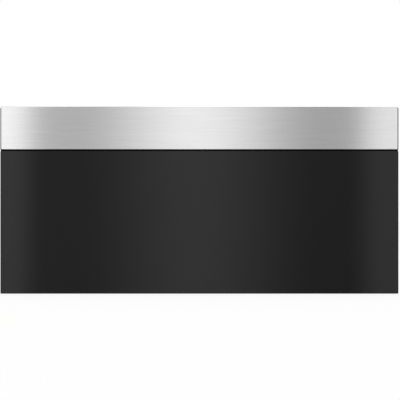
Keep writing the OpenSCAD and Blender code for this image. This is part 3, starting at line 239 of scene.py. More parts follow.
for name, cornersOfFlag in flags.items():
    flag = meshObject(name + "Flag", cornersOfFlag, [(0, 1, 2, 3)], flagCloth)
    flag.visible_camera = False
    flag.visible_diffuse = False
    flag.visible_shadow = False
print("studio: camera, lamps, floor and reflector card")


def newMaterial(name, slot, **shader):
    # material with one Principled shader, whose plain values are set on its own sockets
    material = bpy.data.materials.new(name)
    tree = emptyTree(material)
    material["slot"] = slot
    values = {socket.replace("_", " "): value for socket, value in shader.items()}
    surface = addNode(tree, "ShaderNodeBsdfPrincipled", values)
    addNode(tree, "ShaderNodeOutputMaterial", {"Surface": surface.outputs["BSDF"]})
    place = addNode(tree, "ShaderNodeTexCoord").outputs["Object"]
    return material, tree, surface, place


def dress(tree, surface, look, toneBy=None, glossBy=None, reliefBy=None):
    # lets patterns lead the surface: from dark to pale, from the first roughness of the look's
    # "rough" to the second over "glossRange", and relief with its strength and its depth in metres
    if toneBy:
        tone = addNode(tree, "ShaderNodeMix", {
            0: toneBy, 6: linear(look["dark"]), 7: linear(look["pale"])}, data_type="RGBA")
        tree.links.new(tone.outputs[2], surface.inputs["Base Color"])
    if glossBy:
        low, high = look.get("glossRange", (0.0, 1.0))
        gloss = addNode(tree, "ShaderNodeMapRange", {
            "Value": glossBy, "From Min": low, "From Max": high,
            "To Min": look["rough"][0], "To Max": look["rough"][1]})
        tree.links.new(gloss.outputs["Result"], surface.inputs["Roughness"])
    if reliefBy:
        relief = addNode(tree, "ShaderNodeBump", {
            "Height": reliefBy, "Strength": look["relief"][0], "Distance": look["relief"][1]})
        tree.links.new(relief.outputs["Normal"], surface.inputs["Normal"])


def drawnOut(length, width):
    # scale of a pattern that runs along X
    return (1 / length, 1 / width, 1 / width)


# Float glass, back-printed with black enamel: deep, clean reflections with the faint
# roller wave of toughened glass and a little dust that softens them.
glassLook = {
    "dark": "#040405", "pale": "#08080a",        # enamel, and enamel under dust
    "dustPatches": 14.0,                         # a metre
    "dustGrain": 0.0016, "rough": (0.03, 0.075), "glossRange": (0.35, 0.75),
    "wave": 0.045, "relief": (0.04, 0.0004),
}
blackGlass, tree, surface, place = newMaterial(
    "black enamelled glass", "black_glass", IOR=1.5, Specular_IOR_Level=0.31)
grain = addNode(tree, "ShaderNodeTexNoise", {
    "Vector": place, "Scale": 1 / glassLook["dustGrain"], "Detail": 2.0})
patches = addNode(tree, "ShaderNodeTexNoise", {
    "Vector": place, "Scale": glassLook["dustPatches"], "Detail": 3.0})
wave = addNode(tree, "ShaderNodeTexNoise", {"Vector": place, "Scale": 1 / glassLook["wave"], "Detail": 1.0})
dress(tree, surface, glassLook, patches.outputs["Fac"], grain.outputs["Fac"], wave.outputs["Fac"])

# Stainless sheet, belt-brushed along X: highlights smear across the brushing, and fine
# streaks break them up. Real grit lines are 0.1 mm apart; these are 0.7 mm, to show.
brushedLook = {
    "dark": "#cbcbcb", "pale": "#d4d4d4",        # groove and steel
    "streakLength": 0.09, "streakWidth": 0.0007, "contrast": (0.3, 0.7),
    "bandsPerMetre": (3.0, 220.0, 220.0), "bandShare": 0.15,
    "rough": (0.19, 0.16), "relief": (0.05, 0.00004),
}
brushedSteel, tree, surface, place = newMaterial(
    "brushed stainless steel", "brushed_stainless", Metallic=1.0, Anisotropic=0.92)
longWays = addNode(tree, "ShaderNodeMapping", {
    "Vector": place, "Scale": drawnOut(brushedLook["streakLength"], brushedLook["streakWidth"])})
streaks = addNode(tree, "ShaderNodeTexNoise", {
    "Vector": longWays.outputs[0], "Scale": 1.0, "Detail": 4.0, "Roughness": 0.6})
broad = addNode(tree, "ShaderNodeMapping", {"Vector": place, "Scale": brushedLook["bandsPerMetre"]})
bands = addNode(tree, "ShaderNodeTexNoise", {"Vector": broad.outputs[0], "Scale": 1.0, "Detail": 2.0})
both = addNode(tree, "ShaderNodeMix", {
    0: brushedLook["bandShare"], 2: streaks.outputs["Fac"], 3: bands.outputs["Fac"]})
contrast = addNode(tree, "ShaderNodeMapRange", {
    "Value": both.outputs[0], "From Min": brushedLook["contrast"][0], "From Max": brushedLook["contrast"][1]})
dress(tree, surface, brushedLook, contrast.outputs["Result"], both.outputs[0], streaks.outputs["Fac"])
smear = addNode(tree, "ShaderNodeCombineXYZ", {"X": 0.0, "Y": 1.0, "Z": 1.0})
tree.links.new(smear.outputs[0], surface.inputs["Tangent"])

# Stainless sheet with a rolled satin finish: softer and greyer than the brushed strip,
# with a short grain along X and faint wipe marks.
satinLook = {
    "dark": "#bfc0c0", "pale": "#d1d1d0", "grainLength": 0.02, "grainWidth": 0.0009,
    "wipe": 0.09, "wipeShare": 0.5,
    "rough": (0.42, 0.3), "glossRange": (0.3, 0.7), "relief": (0.1, 0.00005),
}
satinSteel, tree, surface, place = newMaterial(
    "satin stainless steel", "satin_stainless", Metallic=1.0, Anisotropic=0.3)
longWays = addNode(tree, "ShaderNodeMapping", {
    "Vector": place, "Scale": drawnOut(satinLook["grainLength"], satinLook["grainWidth"])})
streaks = addNode(tree, "ShaderNodeTexNoise", {"Vector": longWays.outputs[0], "Scale": 1.0, "Detail": 3.0})
wipes = addNode(tree, "ShaderNodeTexNoise", {
    "Vector": place, "Scale": 1 / satinLook["wipe"], "Detail": 4.0, "Distortion": 0.6})
both = addNode(tree, "ShaderNodeMix", {
    0: satinLook["wipeShare"], 2: streaks.outputs["Fac"], 3: wipes.outputs["Fac"]})
dress(tree, surface, satinLook, both.outputs[0], both.outputs[0], streaks.outputs["Fac"])
smear = addNode(tree, "ShaderNodeCombineXYZ", {"X": 0.0, "Y": 1.0, "Z": 1.0})
tree.links.new(smear.outputs[0], surface.inputs["Tangent"])

# Hot-dip galvanised sheet: crystals of zinc 6 to 9 mm wide, each with its own grey and gloss,
# and with needles across it that lie another way in each crystal.
galvanisedLook = {
    "dark": "#9a9fa2", "pale": "#bec2c4", "crystal": 0.0075,
    "wanderPerMetre": 160.0, "wander": 0.006,    # uneven edges of the crystals
    "needleLength": 0.005, "needleWidth": 0.0008, "needleContrast": (0.35, 0.65), "needleShare": 0.3,
    "stain": 0.16, "stainShare": 0.3, "stainGloss": 0.4,
    "rough": (0.32, 0.46), "glossRange": (0.2, 0.8), "relief": (0.12, 0.0001),
}
galvanised, tree, surface, place = newMaterial("galvanised steel", "galvanised_steel", Metallic=1.0)
wander = addNode(tree, "ShaderNodeTexNoise", {
    "Vector": place, "Scale": galvanisedLook["wanderPerMetre"], "Detail": 2.0})
bent = addNode(tree, "ShaderNodeMix", {
    0: galvanisedLook["wander"], 4: place, 5: wander.outputs["Color"]}, data_type="VECTOR")
crystals = addNode(tree, "ShaderNodeTexVoronoi", {
    "Vector": bent.outputs[1], "Scale": 1 / galvanisedLook["crystal"]})
own = addNode(tree, "ShaderNodeSeparateColor", {0: crystals.outputs["Color"]}).outputs
bearing = addNode(tree, "ShaderNodeMath", {0: own[2], 1: math.tau}, operation="MULTIPLY")
turned = addNode(tree, "ShaderNodeVectorRotate", {
    "Vector": place, "Center": crystals.outputs["Position"], "Axis": (1, 1, 1), "Angle": bearing.outputs[0]})
drawn = addNode(tree, "ShaderNodeMapping", {
    "Vector": turned.outputs[0],
    "Scale": drawnOut(galvanisedLook["needleLength"], galvanisedLook["needleWidth"])})
fibres = addNode(tree, "ShaderNodeTexNoise", {"Vector": drawn.outputs[0], "Scale": 1.0, "Detail": 2.0})
low, high = galvanisedLook["needleContrast"]
needles = addNode(tree, "ShaderNodeMapRange", {
    "Value": fibres.outputs["Fac"], "From Min": low, "From Max": high}).outputs["Result"]
stain = addNode(tree, "ShaderNodeTexNoise", {
    "Vector": place, "Scale": 1 / galvanisedLook["stain"], "Detail": 4.0, "Distortion": 0.5})
grey = addNode(tree, "ShaderNodeMix", {0: galvanisedLook["needleShare"], 2: own[0], 3: needles})
shade = addNode(tree, "ShaderNodeMix", {
    0: galvanisedLook["stainShare"], 2: grey.outputs[0], 3: stain.outputs["Fac"]})
polish = addNode(tree, "ShaderNodeMix", {
    0: galvanisedLook["stainGloss"], 2: own[1], 3: stain.outputs["Fac"]})
dress(tree, surface, galvanisedLook, shade.outputs[0], polish.outputs[0], needles)

# Steel with bright electroplated zinc: even, cool and glossy, slightly cloudy
zincLook = {"dark": "#b0b4b9", "pale": "#c8cbce", "cloud": 0.009, "rough": (0.2, 0.34)}
zincSteel, tree, surface, place = newMaterial("zinc-plated steel", "zinc_steel", Metallic=1.0)
cloud = addNode(tree, "ShaderNodeTexNoise", {"Vector": place, "Scale": 1 / zincLook["cloud"], "Detail": 4.0})
dress(tree, surface, zincLook, cloud.outputs["Fac"], cloud.outputs["Fac"])

# Sheet or cast aluminium: paler and warmer than zinc, with a fine matt grain
aluminiumLook = {
    "dark": "#b7b8ba", "pale": "#d9dadb", "stainsPerMetre": 45.0, "grain": 0.0012,
    "rough": (0.32, 0.5), "relief": (0.3, 0.0001),
}
aluminium, tree, surface, place = newMaterial("aluminium", "aluminium", Metallic=1.0)
grain = addNode(tree, "ShaderNodeTexNoise", {
    "Vector": place, "Scale": 1 / aluminiumLook["grain"], "Detail": 3.0}).outputs["Fac"]
stain = addNode(tree, "ShaderNodeTexNoise", {
    "Vector": place, "Scale": aluminiumLook["stainsPerMetre"], "Detail": 3.0})
dress(tree, surface, aluminiumLook, stain.outputs["Fac"], grain, grain)

# Ring heater: stainless sheath that hot air has tinted straw, brown and blue
sheathLook = {
    "blue": "#4d5666", "brown": "#5f4a3d", "straw": "#9a7f58", "patch": 0.03,
    "toBrown": (0.36, 0.52), "toStraw": (0.5, 0.64), "rough": (0.5, 0.34),
}
heaterSheath, tree, surface, place = newMaterial(
    "heat-tinted stainless sheath", "heater_sheath", Metallic=1.0)
patches = addNode(tree, "ShaderNodeTexNoise", {
    "Vector": place, "Scale": 1 / sheathLook["patch"], "Detail": 2.0}).outputs["Fac"]
tint = linear(sheathLook["blue"])
for colour, (low, high) in (("brown", sheathLook["toBrown"]), ("straw", sheathLook["toStraw"])):
    part = addNode(tree, "ShaderNodeMapRange", {"Value": patches, "From Min": low, "From Max": high})
    tint = addNode(tree, "ShaderNodeMix", {
        0: part.outputs["Result"], 6: tint, 7: linear(sheathLook[colour])}, data_type="RGBA").outputs[2]
tree.links.new(tint, surface.inputs["Base Color"])
dress(tree, surface, sheathLook, glossBy=patches)

# Stator stack: oxidised electrical sheet, 0.5 mm a sheet, drawn at 1 mm to show.
# Winding: enamelled copper wire, 0.6 mm thick, laid side by side, drawn at 0.9 mm.
waveCycle = math.tau / 20        # a wave texture of scale 1 repeats at this distance
layeredLooks = {
    "laminations": {"name": "stack of electrical sheet", "slot": "lamination", "along": "Y",
                    "layer": 0.001, "uneven": 0.4, "dark": "#4b4e53", "pale": "#85878b",
                    "rough": (0.65, 0.42), "relief": (0.4, 0.0001), "shader": {"Metallic": 0.8}},
    "winding": {"name": "enamelled copper winding", "slot": "copper_coil", "along": "X",
                "layer": 0.0009, "uneven": 0.3, "dark": "#6b3215", "pale": "#c46f35",
                "rough": (0.5, 0.28), "relief": (0.8, 0.0003),
                "shader": {"Metallic": 0.7, "Coat_Weight": 0.4, "Coat_Roughness": 0.2}},
}
layered = {}
for key, look in layeredLooks.items():
    layered[key], tree, surface, place = newMaterial(look["name"], look["slot"], **look["shader"])
    layers = addNode(tree, "ShaderNodeTexWave", {
        "Vector": place, "Scale": waveCycle / look["layer"], "Distortion": look["uneven"]},
        bands_direction=look["along"]).outputs["Fac"]
    dress(tree, surface, look, layers, layers, layers)

# Materials with one mottled colour and a fine relief share one recipe: pale and dark tone,
# size of the mottle and of the relief in metres, roughness range and strength of the relief.
# The relief is an eighth as deep as it is wide.
plainLooks = {
    # powder coat: dark textured paint with orange peel
    "powderCoat": ("powder-coated steel", "coated_steel", "#232427", "#1a1b1d", 0.02, 0.0011,
                   (0.42, 0.56), 0.35, {}),
    # moulded rubber of the feet: matt, slightly chalky
    "rubber": ("moulded rubber", "rubber", "#232323", "#171718", 0.008, 0.0007, (0.7, 0.86), 0.3, {}),
    # silicone of mat and gasket: soft sheen, dust-grey bloom
    "silicone": ("silicone rubber", "silicone", "#46474a", "#393a3c", 0.03, 0.0008,
                 (0.5, 0.64), 0.25, {"Sheen_Weight": 0.15, "Sheen_Roughness": 0.4}),
    # closed-cell foam tape
    "foam": ("closed-cell foam", "foam_tape", "#0f0f10", "#080809", 0.002, 0.0006,
             (0.85, 0.95), 0.6, {"Specular_IOR_Level": 0.1}),
    # spark-eroded texture of black mouldings
    "blackPlastic": ("textured black polymer", "black_plastic", "#2c2d2f", "#222325", 0.012, 0.0005,
                     (0.42, 0.54), 0.3, {}),
    # natural nylon, faintly translucent
    "nylon": ("natural nylon", "nylon", "#e3dfd2", "#d2cdbd", 0.01, 0.0008,
              (0.36, 0.48), 0.15, {"Subsurface_Weight": 0.08, "Subsurface_Scale": 0.002}),
    # steatite: dense pale ceramic
    "ceramic": ("steatite ceramic", "ceramic", "#e8e3d7", "#d6d0c2", 0.006, 0.0006, (0.34, 0.46), 0.2, {}),
    # nickel-plated magnet
    "nickel": ("nickel plate", "magnet", "#c9c6bd", "#b3afa5", 0.003, 0.0006,
               (0.14, 0.24), 0.05, {"Metallic": 1.0}),
    # spring steel wire, bright drawn
    "springSteel": ("spring steel wire", "zinc_steel", "#b9bbc0", "#9b9da3", 0.004, 0.0005,
                    (0.22, 0.34), 0.1, {"Metallic": 1.0}),
    # ground shaft and rotor core
    "groundSteel": ("ground steel", "zinc_steel", "#b2b4b7", "#8f9195", 0.004, 0.0006,
                    (0.2, 0.32), 0.1, {"Metallic": 1.0}),
    # relay case, blue polyester
    "blueCase": ("blue polyester case", "components", "#2f5fa8", "#264f90", 0.01, 0.0006,
                 (0.3, 0.4), 0.1, {}),
    # potted transformer and sleeves of the capacitors
    "darkCase": ("potted polymer case", "components", "#26262b", "#1b1b20", 0.01, 0.0006,
                 (0.3, 0.45), 0.15, {}),
}
plain = {}
for key, (name, slot, pale, dark, mottle, reliefSize, rough, strength, extra) in plainLooks.items():
    plain[key], tree, surface, place = newMaterial(name, slot, **extra)
    look = {"dark": dark, "pale": pale, "rough": rough, "relief": (strength, reliefSize / 8)}
    spread = addNode(tree, "ShaderNodeTexNoise", {
        "Vector": place, "Scale": 1 / mottle, "Detail": 4.0}).outputs["Fac"]
    fine = addNode(tree, "ShaderNodeTexNoise", {"Vector": place, "Scale": 1 / reliefSize, "Detail": 2.0})
    dress(tree, surface, look, spread, spread, fine.outputs["Fac"])

# Mineral wool felt: tangled fibres, drawn a little coarse
woolLook = {"dark": "#8f8055", "pale": "#cdbf97", "fibre": 0.0012, "relief": (0.8, 0.0006)}
woolFelt, tree, surface, place = newMaterial(
    "mineral wool felt", "mineral_wool", Roughness=0.95, Sheen_Weight=0.3)
fibres = addNode(tree, "ShaderNodeTexNoise", {
    "Vector": place, "Scale": 1 / woolLook["fibre"], "Detail": 5.0, "Distortion": 2.5}).outputs["Fac"]
dress(tree, surface, woolLook, toneBy=fibres, reliefBy=fibres)

# Circuit board: glossy green solder mask over copper tracks, which show as paler lines
boardLook = {
    "mask": "#17512c", "maskFaded": "#1d5f36", "track": "#2b7a45", "grid": 0.0032,
    "trackWidth": 0.09, "trackLength": 2.6, "trackPitch": 0.8,     # in steps of the grid
    "weavePerMetre": 700.0, "rough": (0.25, 0.4), "relief": (0.3, 0.00006),
}
circuitBoard, tree, surface, place = newMaterial(
    "glass-fibre circuit board", "circuit_board", IOR=1.5, Coat_Weight=0.4, Coat_Roughness=0.15)
turned = addNode(tree, "ShaderNodeMapping", {
    "Vector": place, "Rotation": (math.radians(90), 0, 0), "Scale": (1 / boardLook["grid"],) * 3})
tracks = addNode(tree, "ShaderNodeTexBrick", {
    "Vector": turned.outputs[0], "Scale": 1.0, "Color1": linear(boardLook["mask"]),
    "Color2": linear(boardLook["maskFaded"]), "Mortar": linear(boardLook["track"]),
    "Mortar Size": boardLook["trackWidth"],
    "Brick Width": boardLook["trackLength"], "Row Height": boardLook["trackPitch"]})
tree.links.new(tracks.outputs["Color"], surface.inputs["Base Color"])
weave = addNode(tree, "ShaderNodeTexNoise", {
    "Vector": place, "Scale": boardLook["weavePerMetre"], "Detail": 2.0})
dress(tree, surface, boardLook, glossBy=weave.outputs["Fac"], reliefBy=tracks.outputs["Fac"])

# White ceramic ink of the touch marks, slightly broken by the screen
inkLook = {"dark": "#c4c7c9", "pale": "#dfe1e2", "mesh": 0.0006, "rough": (0.35, 0.5)}
printedInk, tree, surface, place = newMaterial("white screen-printed ink", "black_glass", IOR=1.5)
screen = addNode(tree, "ShaderNodeTexNoise", {
    "Vector": place, "Scale": 1 / inkLook["mesh"], "Detail": 2.0}).outputs["Fac"]
dress(tree, surface, inkLook, screen, screen)
print("materials:", len(bpy.data.materials))

finishes = {
    blackGlass: ["front_glass", "touch_strip"],
    brushedSteel: ["steel_strip"],
    satinSteel: ["inner_panel", "control_console", "drawer_pan", "front_collar", "air_baffle"],
    galvanised: ["front_stiffeners", "latch_striker", "housing_base", "housing_top", "housing_side_left",
                 "housing_side_right", "housing_rear", "fan_partition", "runner_bracket_left",
                 "runner_bracket_right"],
    zincSteel: ["runner_inner_left", "runner_inner_right", "runner_middle_left", "runner_middle_right",
                "runner_outer_left", "runner_outer_right", "drawer_screws", "housing_screws", "fan_nut",
                "motor_studs", "temperature_probe"],
    aluminium: ["fan_wheel", "bearing_front", "bearing_rear"],
    heaterSheath: ["heater_element"],
    layered["laminations"]: ["motor_stator"],
    circuitBoard: ["power_board", "control_board"],
    woolFelt: ["front_insulation"],
    plain["powderCoat"]: ["front_carrier"],
    plain["rubber"]: ["glide_feet"],
    plain["silicone"]: ["front_gasket", "non_slip_mat"],
    plain["foam"]: ["bonding_tape"],
    plain["blackPlastic"]: ["strip_backer", "control_tray", "cable_gland", "latch_body"],
    plain["nylon"]: ["board_standoffs", "latch_plunger"],
    plain["ceramic"]: ["thermal_cutout", "terminal_block"],
    plain["nickel"]: ["latch_magnet"],
    plain["springSteel"]: ["latch_spring"],
    plain["groundSteel"]: ["fan_shaft", "motor_rotor"],
}
for material, names in finishes.items():
    for name in names:
        nodes[name].data.materials.clear()
        nodes[name].data.materials.append(material)


def looseParts(thing):
    # groups of connected faces: their numbers and lowest and highest corner
    shell = bmesh.new()
    shell.from_mesh(thing.data)
    number = shell.faces.layers.int.new("number")
    for face in shell.faces:
        face[number] = face.index
    bmesh.ops.remove_doubles(shell, verts=shell.verts, dist=2e-6)
    groups, seenFaces = [], set()
    for start in shell.faces:
        if start in seenFaces:
            continue
        seenFaces.add(start)
        stack, members, points = [start], [], []
        while stack:
            face = stack.pop()
            members.append(face[number])
            points += [v.co.copy() for v in face.verts]
            for edge in face.edges:
                for other in edge.link_faces:
                    if other not in seenFaces:
                        seenFaces.add(other)
                        stack.append(other)
        low = Vector(min(p[k] for p in points) for k in range(3))
        high = Vector(max(p[k] for p in points) for k in range(3))
        groups.append((members, low, high))
    shell.free()
    return groups


def finishParts(name, choose):
    # gives each loose part of a node the material that choose(size) returns
    data = nodes[name].data
    data.materials.clear()
    for members, low, high in looseParts(nodes[name]):
        material = choose(high - low)
        if material.name not in data.materials:
            data.materials.append(material)
        place = data.materials.find(material.name)
        for index in members:
            data.polygons[index].material_index = place


# sizes in metres by which the parts of one node are told apart
partSizes = {
    "ball": 0.0045,              # a longer part of a cage node is the cage
    "windingEnd": 0.0159,        # beyond it from the middle are the bobbin's flanges
    "transformer": 0.026, "connector": 0.012, "relay": 0.018,      # heights off the board
    "round": 0.001,              # width and height of a round can differ by less
}


def cageFinish(size):
    return plain["groundSteel"] if size.y < partSizes["ball"] else plain["nylon"]


def componentFinish(size):
    if size.y > partSizes["transformer"]:
        return plain["darkCase"]
    if size.y < partSizes["connector"]:
        return plain["nylon"]
    if abs(size.x - size.z) < partSizes["round"]:
        return plain["darkCase"]
    return plain["blueCase"] if size.y < partSizes["relay"] else aluminium


for side in ("left", "right"):
    for layer in ("inner", "outer"):
        finishParts(f"cage_{layer}_{side}", cageFinish)
finishParts("board_components", componentFinish)
coil = nodes["motor_coil"].data                  # winding and bobbin are one solid
coil.materials.clear()
for material in (layered["winding"], plain["nylon"]):
    coil.materials.append(material)
for polygon in coil.polygons:
    polygon.material_index = 1 if abs(polygon.center.x) > partSizes["windingEnd"] else 0
print("finishes: CAD nodes dressed")


def newTree(name, output, **inputs):
    # geometry tree with named inputs, given as the kind of socket and its names
    tree = bpy.data.node_groups.new(name, "GeometryNodeTree")
    for kind, labels in inputs.items():
        for label in labels:
            tree.interface.new_socket(label, in_out="INPUT", socket_type="NodeSocket" + kind)
    tree.interface.new_socket(output, in_out="OUTPUT", socket_type="NodeSocketGeometry")
    return tree, addNode(tree, "NodeGroupInput").outputs


def endTree(tree, output, geometry, finish):
    # every tree ends alike: real mesh in place of instances, and its material
    real = addNode(tree, "GeometryNodeRealizeInstances", {"Geometry": geometry})
    painted = addNode(tree, "GeometryNodeSetMaterial", {"Geometry": real.outputs[0], "Material": finish})
    addNode(tree, "NodeGroupOutput", {output: painted.outputs[0]})


def pieceFromTree(name, tree, values, material, body, holder=None):
    # runs a tree on a holder and keeps the plain mesh that it makes; the holder goes
    holder = holder or meshObject(name + "Holder", [(0, 0, 0)], [])
    modifier = holder.modifiers.new("tree", "NODES")
    modifier.node_group = tree
    sockets = {item.name: item for item in tree.interface.items_tree
               if item.item_type == "SOCKET" and item.in_out == "INPUT"}
    for label, value in {**values, "Finish": material}.items():
        modifier[sockets[label].identifier] = value
    bpy.context.view_layer.update()
    graph = bpy.context.evaluated_depsgraph_get()
    mesh = bpy.data.meshes.new_from_object(holder.evaluated_get(graph))
    bpy.data.objects.remove(holder)
    mesh.name = name
    mesh.materials.clear()
    mesh.materials.append(material)
    piece = bpy.data.objects.new(name, mesh)
    bpy.context.scene.collection.objects.link(piece)
    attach(piece, body)
    return piece


def shadeSmooth(thing):
    thing.data.polygons.foreach_set("use_smooth", [True] * len(thing.data.polygons))


# Pan-head screw with a cross recess and a rolled thread, standing on z = 0
screwLook = {
    "head": 0.00704, "headHeight": 0.00192, "shank": 0.0032, "pitch": 0.0009, "sides": 24,
    "headProfile": [(0.45, 0.985), (0.75, 0.86), (0.93, 0.62), (0.995, 0.34), (1.0, 0.12), (0.97, 0.0)],
    "threadProfile": [(0.97, 0.2), (0.8, 0.5), (0.97, 0.8)],       # share of the radius, share of the pitch
    "tip": 0.0003, "tipRadii": (0.9, 0.6),
    "recess": 0.0036, "recessDepth": 0.0013, "recessFloor": 0.3, "arm": 0.34, "clear": 0.0005,
    "panLength": 0.0026, "frontLength": 0.008, "rearLength": 0.006,
    "upright": 0.0005,           # a screw that is higher than wide by more than this stands upright
}


def crossCutter():
    # cross-shaped cutter above the screw's head, narrower at its bottom
    look, arm = screwLook, screwLook["arm"]
    outline = [(1, arm), (arm, arm), (arm, 1), (-arm, 1), (-arm, arm), (-1, arm),
               (-1, -arm), (-arm, -arm), (-arm, -1), (arm, -1), (arm, -arm), (1, -arm)]
    top = (look["recess"] / 2, look["headHeight"] + look["clear"])
    bottom = (look["recess"] * look["recessFloor"], look["headHeight"] - look["recessDepth"])
    points = [(x * reach, y * reach, z) for reach, z in (top, bottom) for x, y in outline]
    count = len(outline)
    faces = [tuple(range(count)), tuple(range(2 * count - 1, count - 1, -1))]
    faces += [(i, i + count, (i + 1) % count + count, (i + 1) % count) for i in range(count)]
    return meshObject("crossCutter", points, faces)


def screwMaster(name, length):
    # a section in radius and height, spun round the axis, with the recess cut into its head
    look, pitch = screwLook, screwLook["pitch"]
    radius, height, core = look["head"] / 2, look["headHeight"], look["shank"] / 2
    section = [(0.0, height)] + [(radius * x, height * z) for x, z in look["headProfile"]] + [(core, 0.0)]
    tipStart = look["tip"] - length
    z = 0.0
    while z - pitch > tipStart:
        section += [(core * x, z - pitch * step) for x, step in look["threadProfile"]]
        z -= pitch
    neck, point = look["tipRadii"]
    section += [(core * neck, tipStart), (core * point, -length), (0.0, -length)]
    shell = bmesh.new()
    line = [shell.verts.new((x, 0, z)) for x, z in section]
    for start, end in zip(line, line[1:]):
        shell.edges.new((start, end))
    bmesh.ops.spin(shell, geom=list(shell.verts) + list(shell.edges), cent=(0, 0, 0), axis=(0, 0, 1),
                   angle=math.tau, steps=look["sides"])
    bmesh.ops.remove_doubles(shell, verts=shell.verts, dist=1e-6)
    bmesh.ops.recalc_face_normals(shell, faces=shell.faces)
    screw = meshObject(name, [], [])
    shell.to_mesh(screw.data)
    shell.free()
    cutter = crossCutter()
    cut = screw.modifiers.new("recess", "BOOLEAN")
    cut.object = cutter
    cut.solver = "EXACT"
    graph = bpy.context.evaluated_depsgraph_get()
    cutMesh = bpy.data.meshes.new_from_object(screw.evaluated_get(graph))
    screw.modifiers.clear()
    screw.data = cutMesh
    bpy.data.objects.remove(cutter)
    cutMesh.polygons.foreach_set("use_smooth", [False] * len(cutMesh.polygons))
    return screw


def screwsTree():
    # puts one of two screws on each point, with its head along the point's "axis"
    tree, given = newTree("screws on points", "Screws", Geometry=["Points"],
                          Object=["Short screw", "Long screw"], Material=["Finish"])
    axis = addNode(tree, "GeometryNodeInputNamedAttribute", {"Name": "axis"}, data_type="FLOAT_VECTOR")
    turn = addNode(tree, "FunctionNodeAlignRotationToVector", {"Vector": axis.outputs["Attribute"]}, axis="Z")
    kind = addNode(tree, "GeometryNodeInputNamedAttribute", {"Name": "long"}, data_type="BOOLEAN")
    isLong = kind.outputs["Attribute"]
    isShort = addNode(tree, "FunctionNodeBooleanMath", {0: isLong}, operation="NOT").outputs[0]
    both = addNode(tree, "GeometryNodeJoinGeometry")
    for source, chosen in (("Short screw", isShort), ("Long screw", isLong)):
        screw = addNode(tree, "GeometryNodeObjectInfo", {"Object": given[source]})
        placed = addNode(tree, "GeometryNodeInstanceOnPoints", {
            "Points": given["Points"], "Selection": chosen, "Instance": screw.outputs["Geometry"],
            "Rotation": turn.outputs["Rotation"]})
        tree.links.new(placed.outputs[0], both.inputs[0])
    endTree(tree, "Screws", both.outputs[0], given["Finish"])
    return tree


def placeScrews(name, body, places, short, long, tree):
    points = meshObject(name + "Points", [point for point, _, _ in places], [])
    axis = points.data.attributes.new("axis", "FLOAT_VECTOR", "POINT")
    axis.data.foreach_set("vector", [c for _, direction, _ in places for c in direction])
    longOnes = points.data.attributes.new("long", "BOOLEAN", "POINT")
    longOnes.data.foreach_set("value", [isLong for _, _, isLong in places])
    values = {"Short screw": short, "Long screw": long}
    return pieceFromTree(name, tree, values, zincSteel, body, points)


def screwSeat(low, high, axis):
    # point under the head of a screw that fills this box, with its head along axis
    seat = list((low + high) / 2)
    along = [abs(c) for c in axis].index(1)
    outer = high[along] if axis[along] > 0 else low[along]
    seat[along] = outer - axis[along] * screwLook["headHeight"]
    return seat


# where the screws stand, read from the CAD nodes that they replace
drawerPlaces, housingPlaces = [], []
for members, low, high in looseParts(nodes["drawer_screws"]):
    size = high - low
    acrossPan = size.x < size.z                  # pan screws lie along X, heads inside the pan
    axis = (-1 if low.x + high.x > 0 else 1, 0, 0) if acrossPan else (0, 1, 0)
    drawerPlaces.append((screwSeat(low, high, axis), axis, not acrossPan))
for members, low, high in looseParts(nodes["housing_screws"]):
    size = high - low
    upright = size.z > size.x + screwLook["upright"]       # screws of the latch
    axis = (0, 0, 1) if upright else (0, 1, 0)
    housingPlaces.append((screwSeat(low, high, axis), axis, True))
tree = screwsTree()
shortScrew = screwMaster("shortScrew", screwLook["panLength"])
frontScrew = screwMaster("frontScrew", screwLook["frontLength"])
rearScrew = screwMaster("rearScrew", screwLook["rearLength"])
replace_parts(placeScrews("drawerScrewSet", "drawer", drawerPlaces, shortScrew, frontScrew, tree),
            "drawer_screws")
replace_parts(placeScrews("housingScrewSet", "housing", housingPlaces, shortScrew, rearScrew, tree),
            "housing_screws")
for master in (shortScrew, frontScrew, rearScrew):
    bpy.data.objects.remove(master)
print("screws:", len(drawerPlaces), "in the drawer,", len(housingPlaces), "in the housing")

# Raised studs that keep dishes from sliding on the mat
studs = {"pitch": 0.012, "margin": 0.009, "diameter": 0.0052, "height": 0.0007, "sides": 12, "rings": 4}


def studTree():
    tree, given = newTree("studs on a mat", "Studs", Float=["Width", "Depth", "Diameter", "Height"],
                          Int=["Columns", "Rows", "Sides", "Rings"], Vector=["Centre"], Material=["Finish"])
    grid = addNode(tree, "GeometryNodeMeshGrid", {
        "Size X": given["Width"], "Size Y": given["Depth"],
        "Vertices X": given["Columns"], "Vertices Y": given["Rows"]})
    ball = addNode(tree, "GeometryNodeMeshUVSphere", {
        "Segments": given["Sides"], "Rings": given["Rings"], "Radius": 0.5})
    size = addNode(tree, "ShaderNodeCombineXYZ", {
        "X": given["Diameter"], "Y": given["Diameter"], "Z": given["Height"]})
    grown = addNode(tree, "ShaderNodeVectorMath", {0: size.outputs[0], 1: (1, 1, 2)}, operation="MULTIPLY")
    placed = addNode(tree, "GeometryNodeInstanceOnPoints", {
        "Points": grid.outputs["Mesh"], "Instance": ball.outputs["Mesh"], "Scale": grown.outputs[0]})
    moved = addNode(tree, "GeometryNodeTransform", {
        "Geometry": placed.outputs[0], "Translation": given["Centre"]})
    endTree(tree, "Studs", moved.outputs[0], given["Finish"])
    return tree


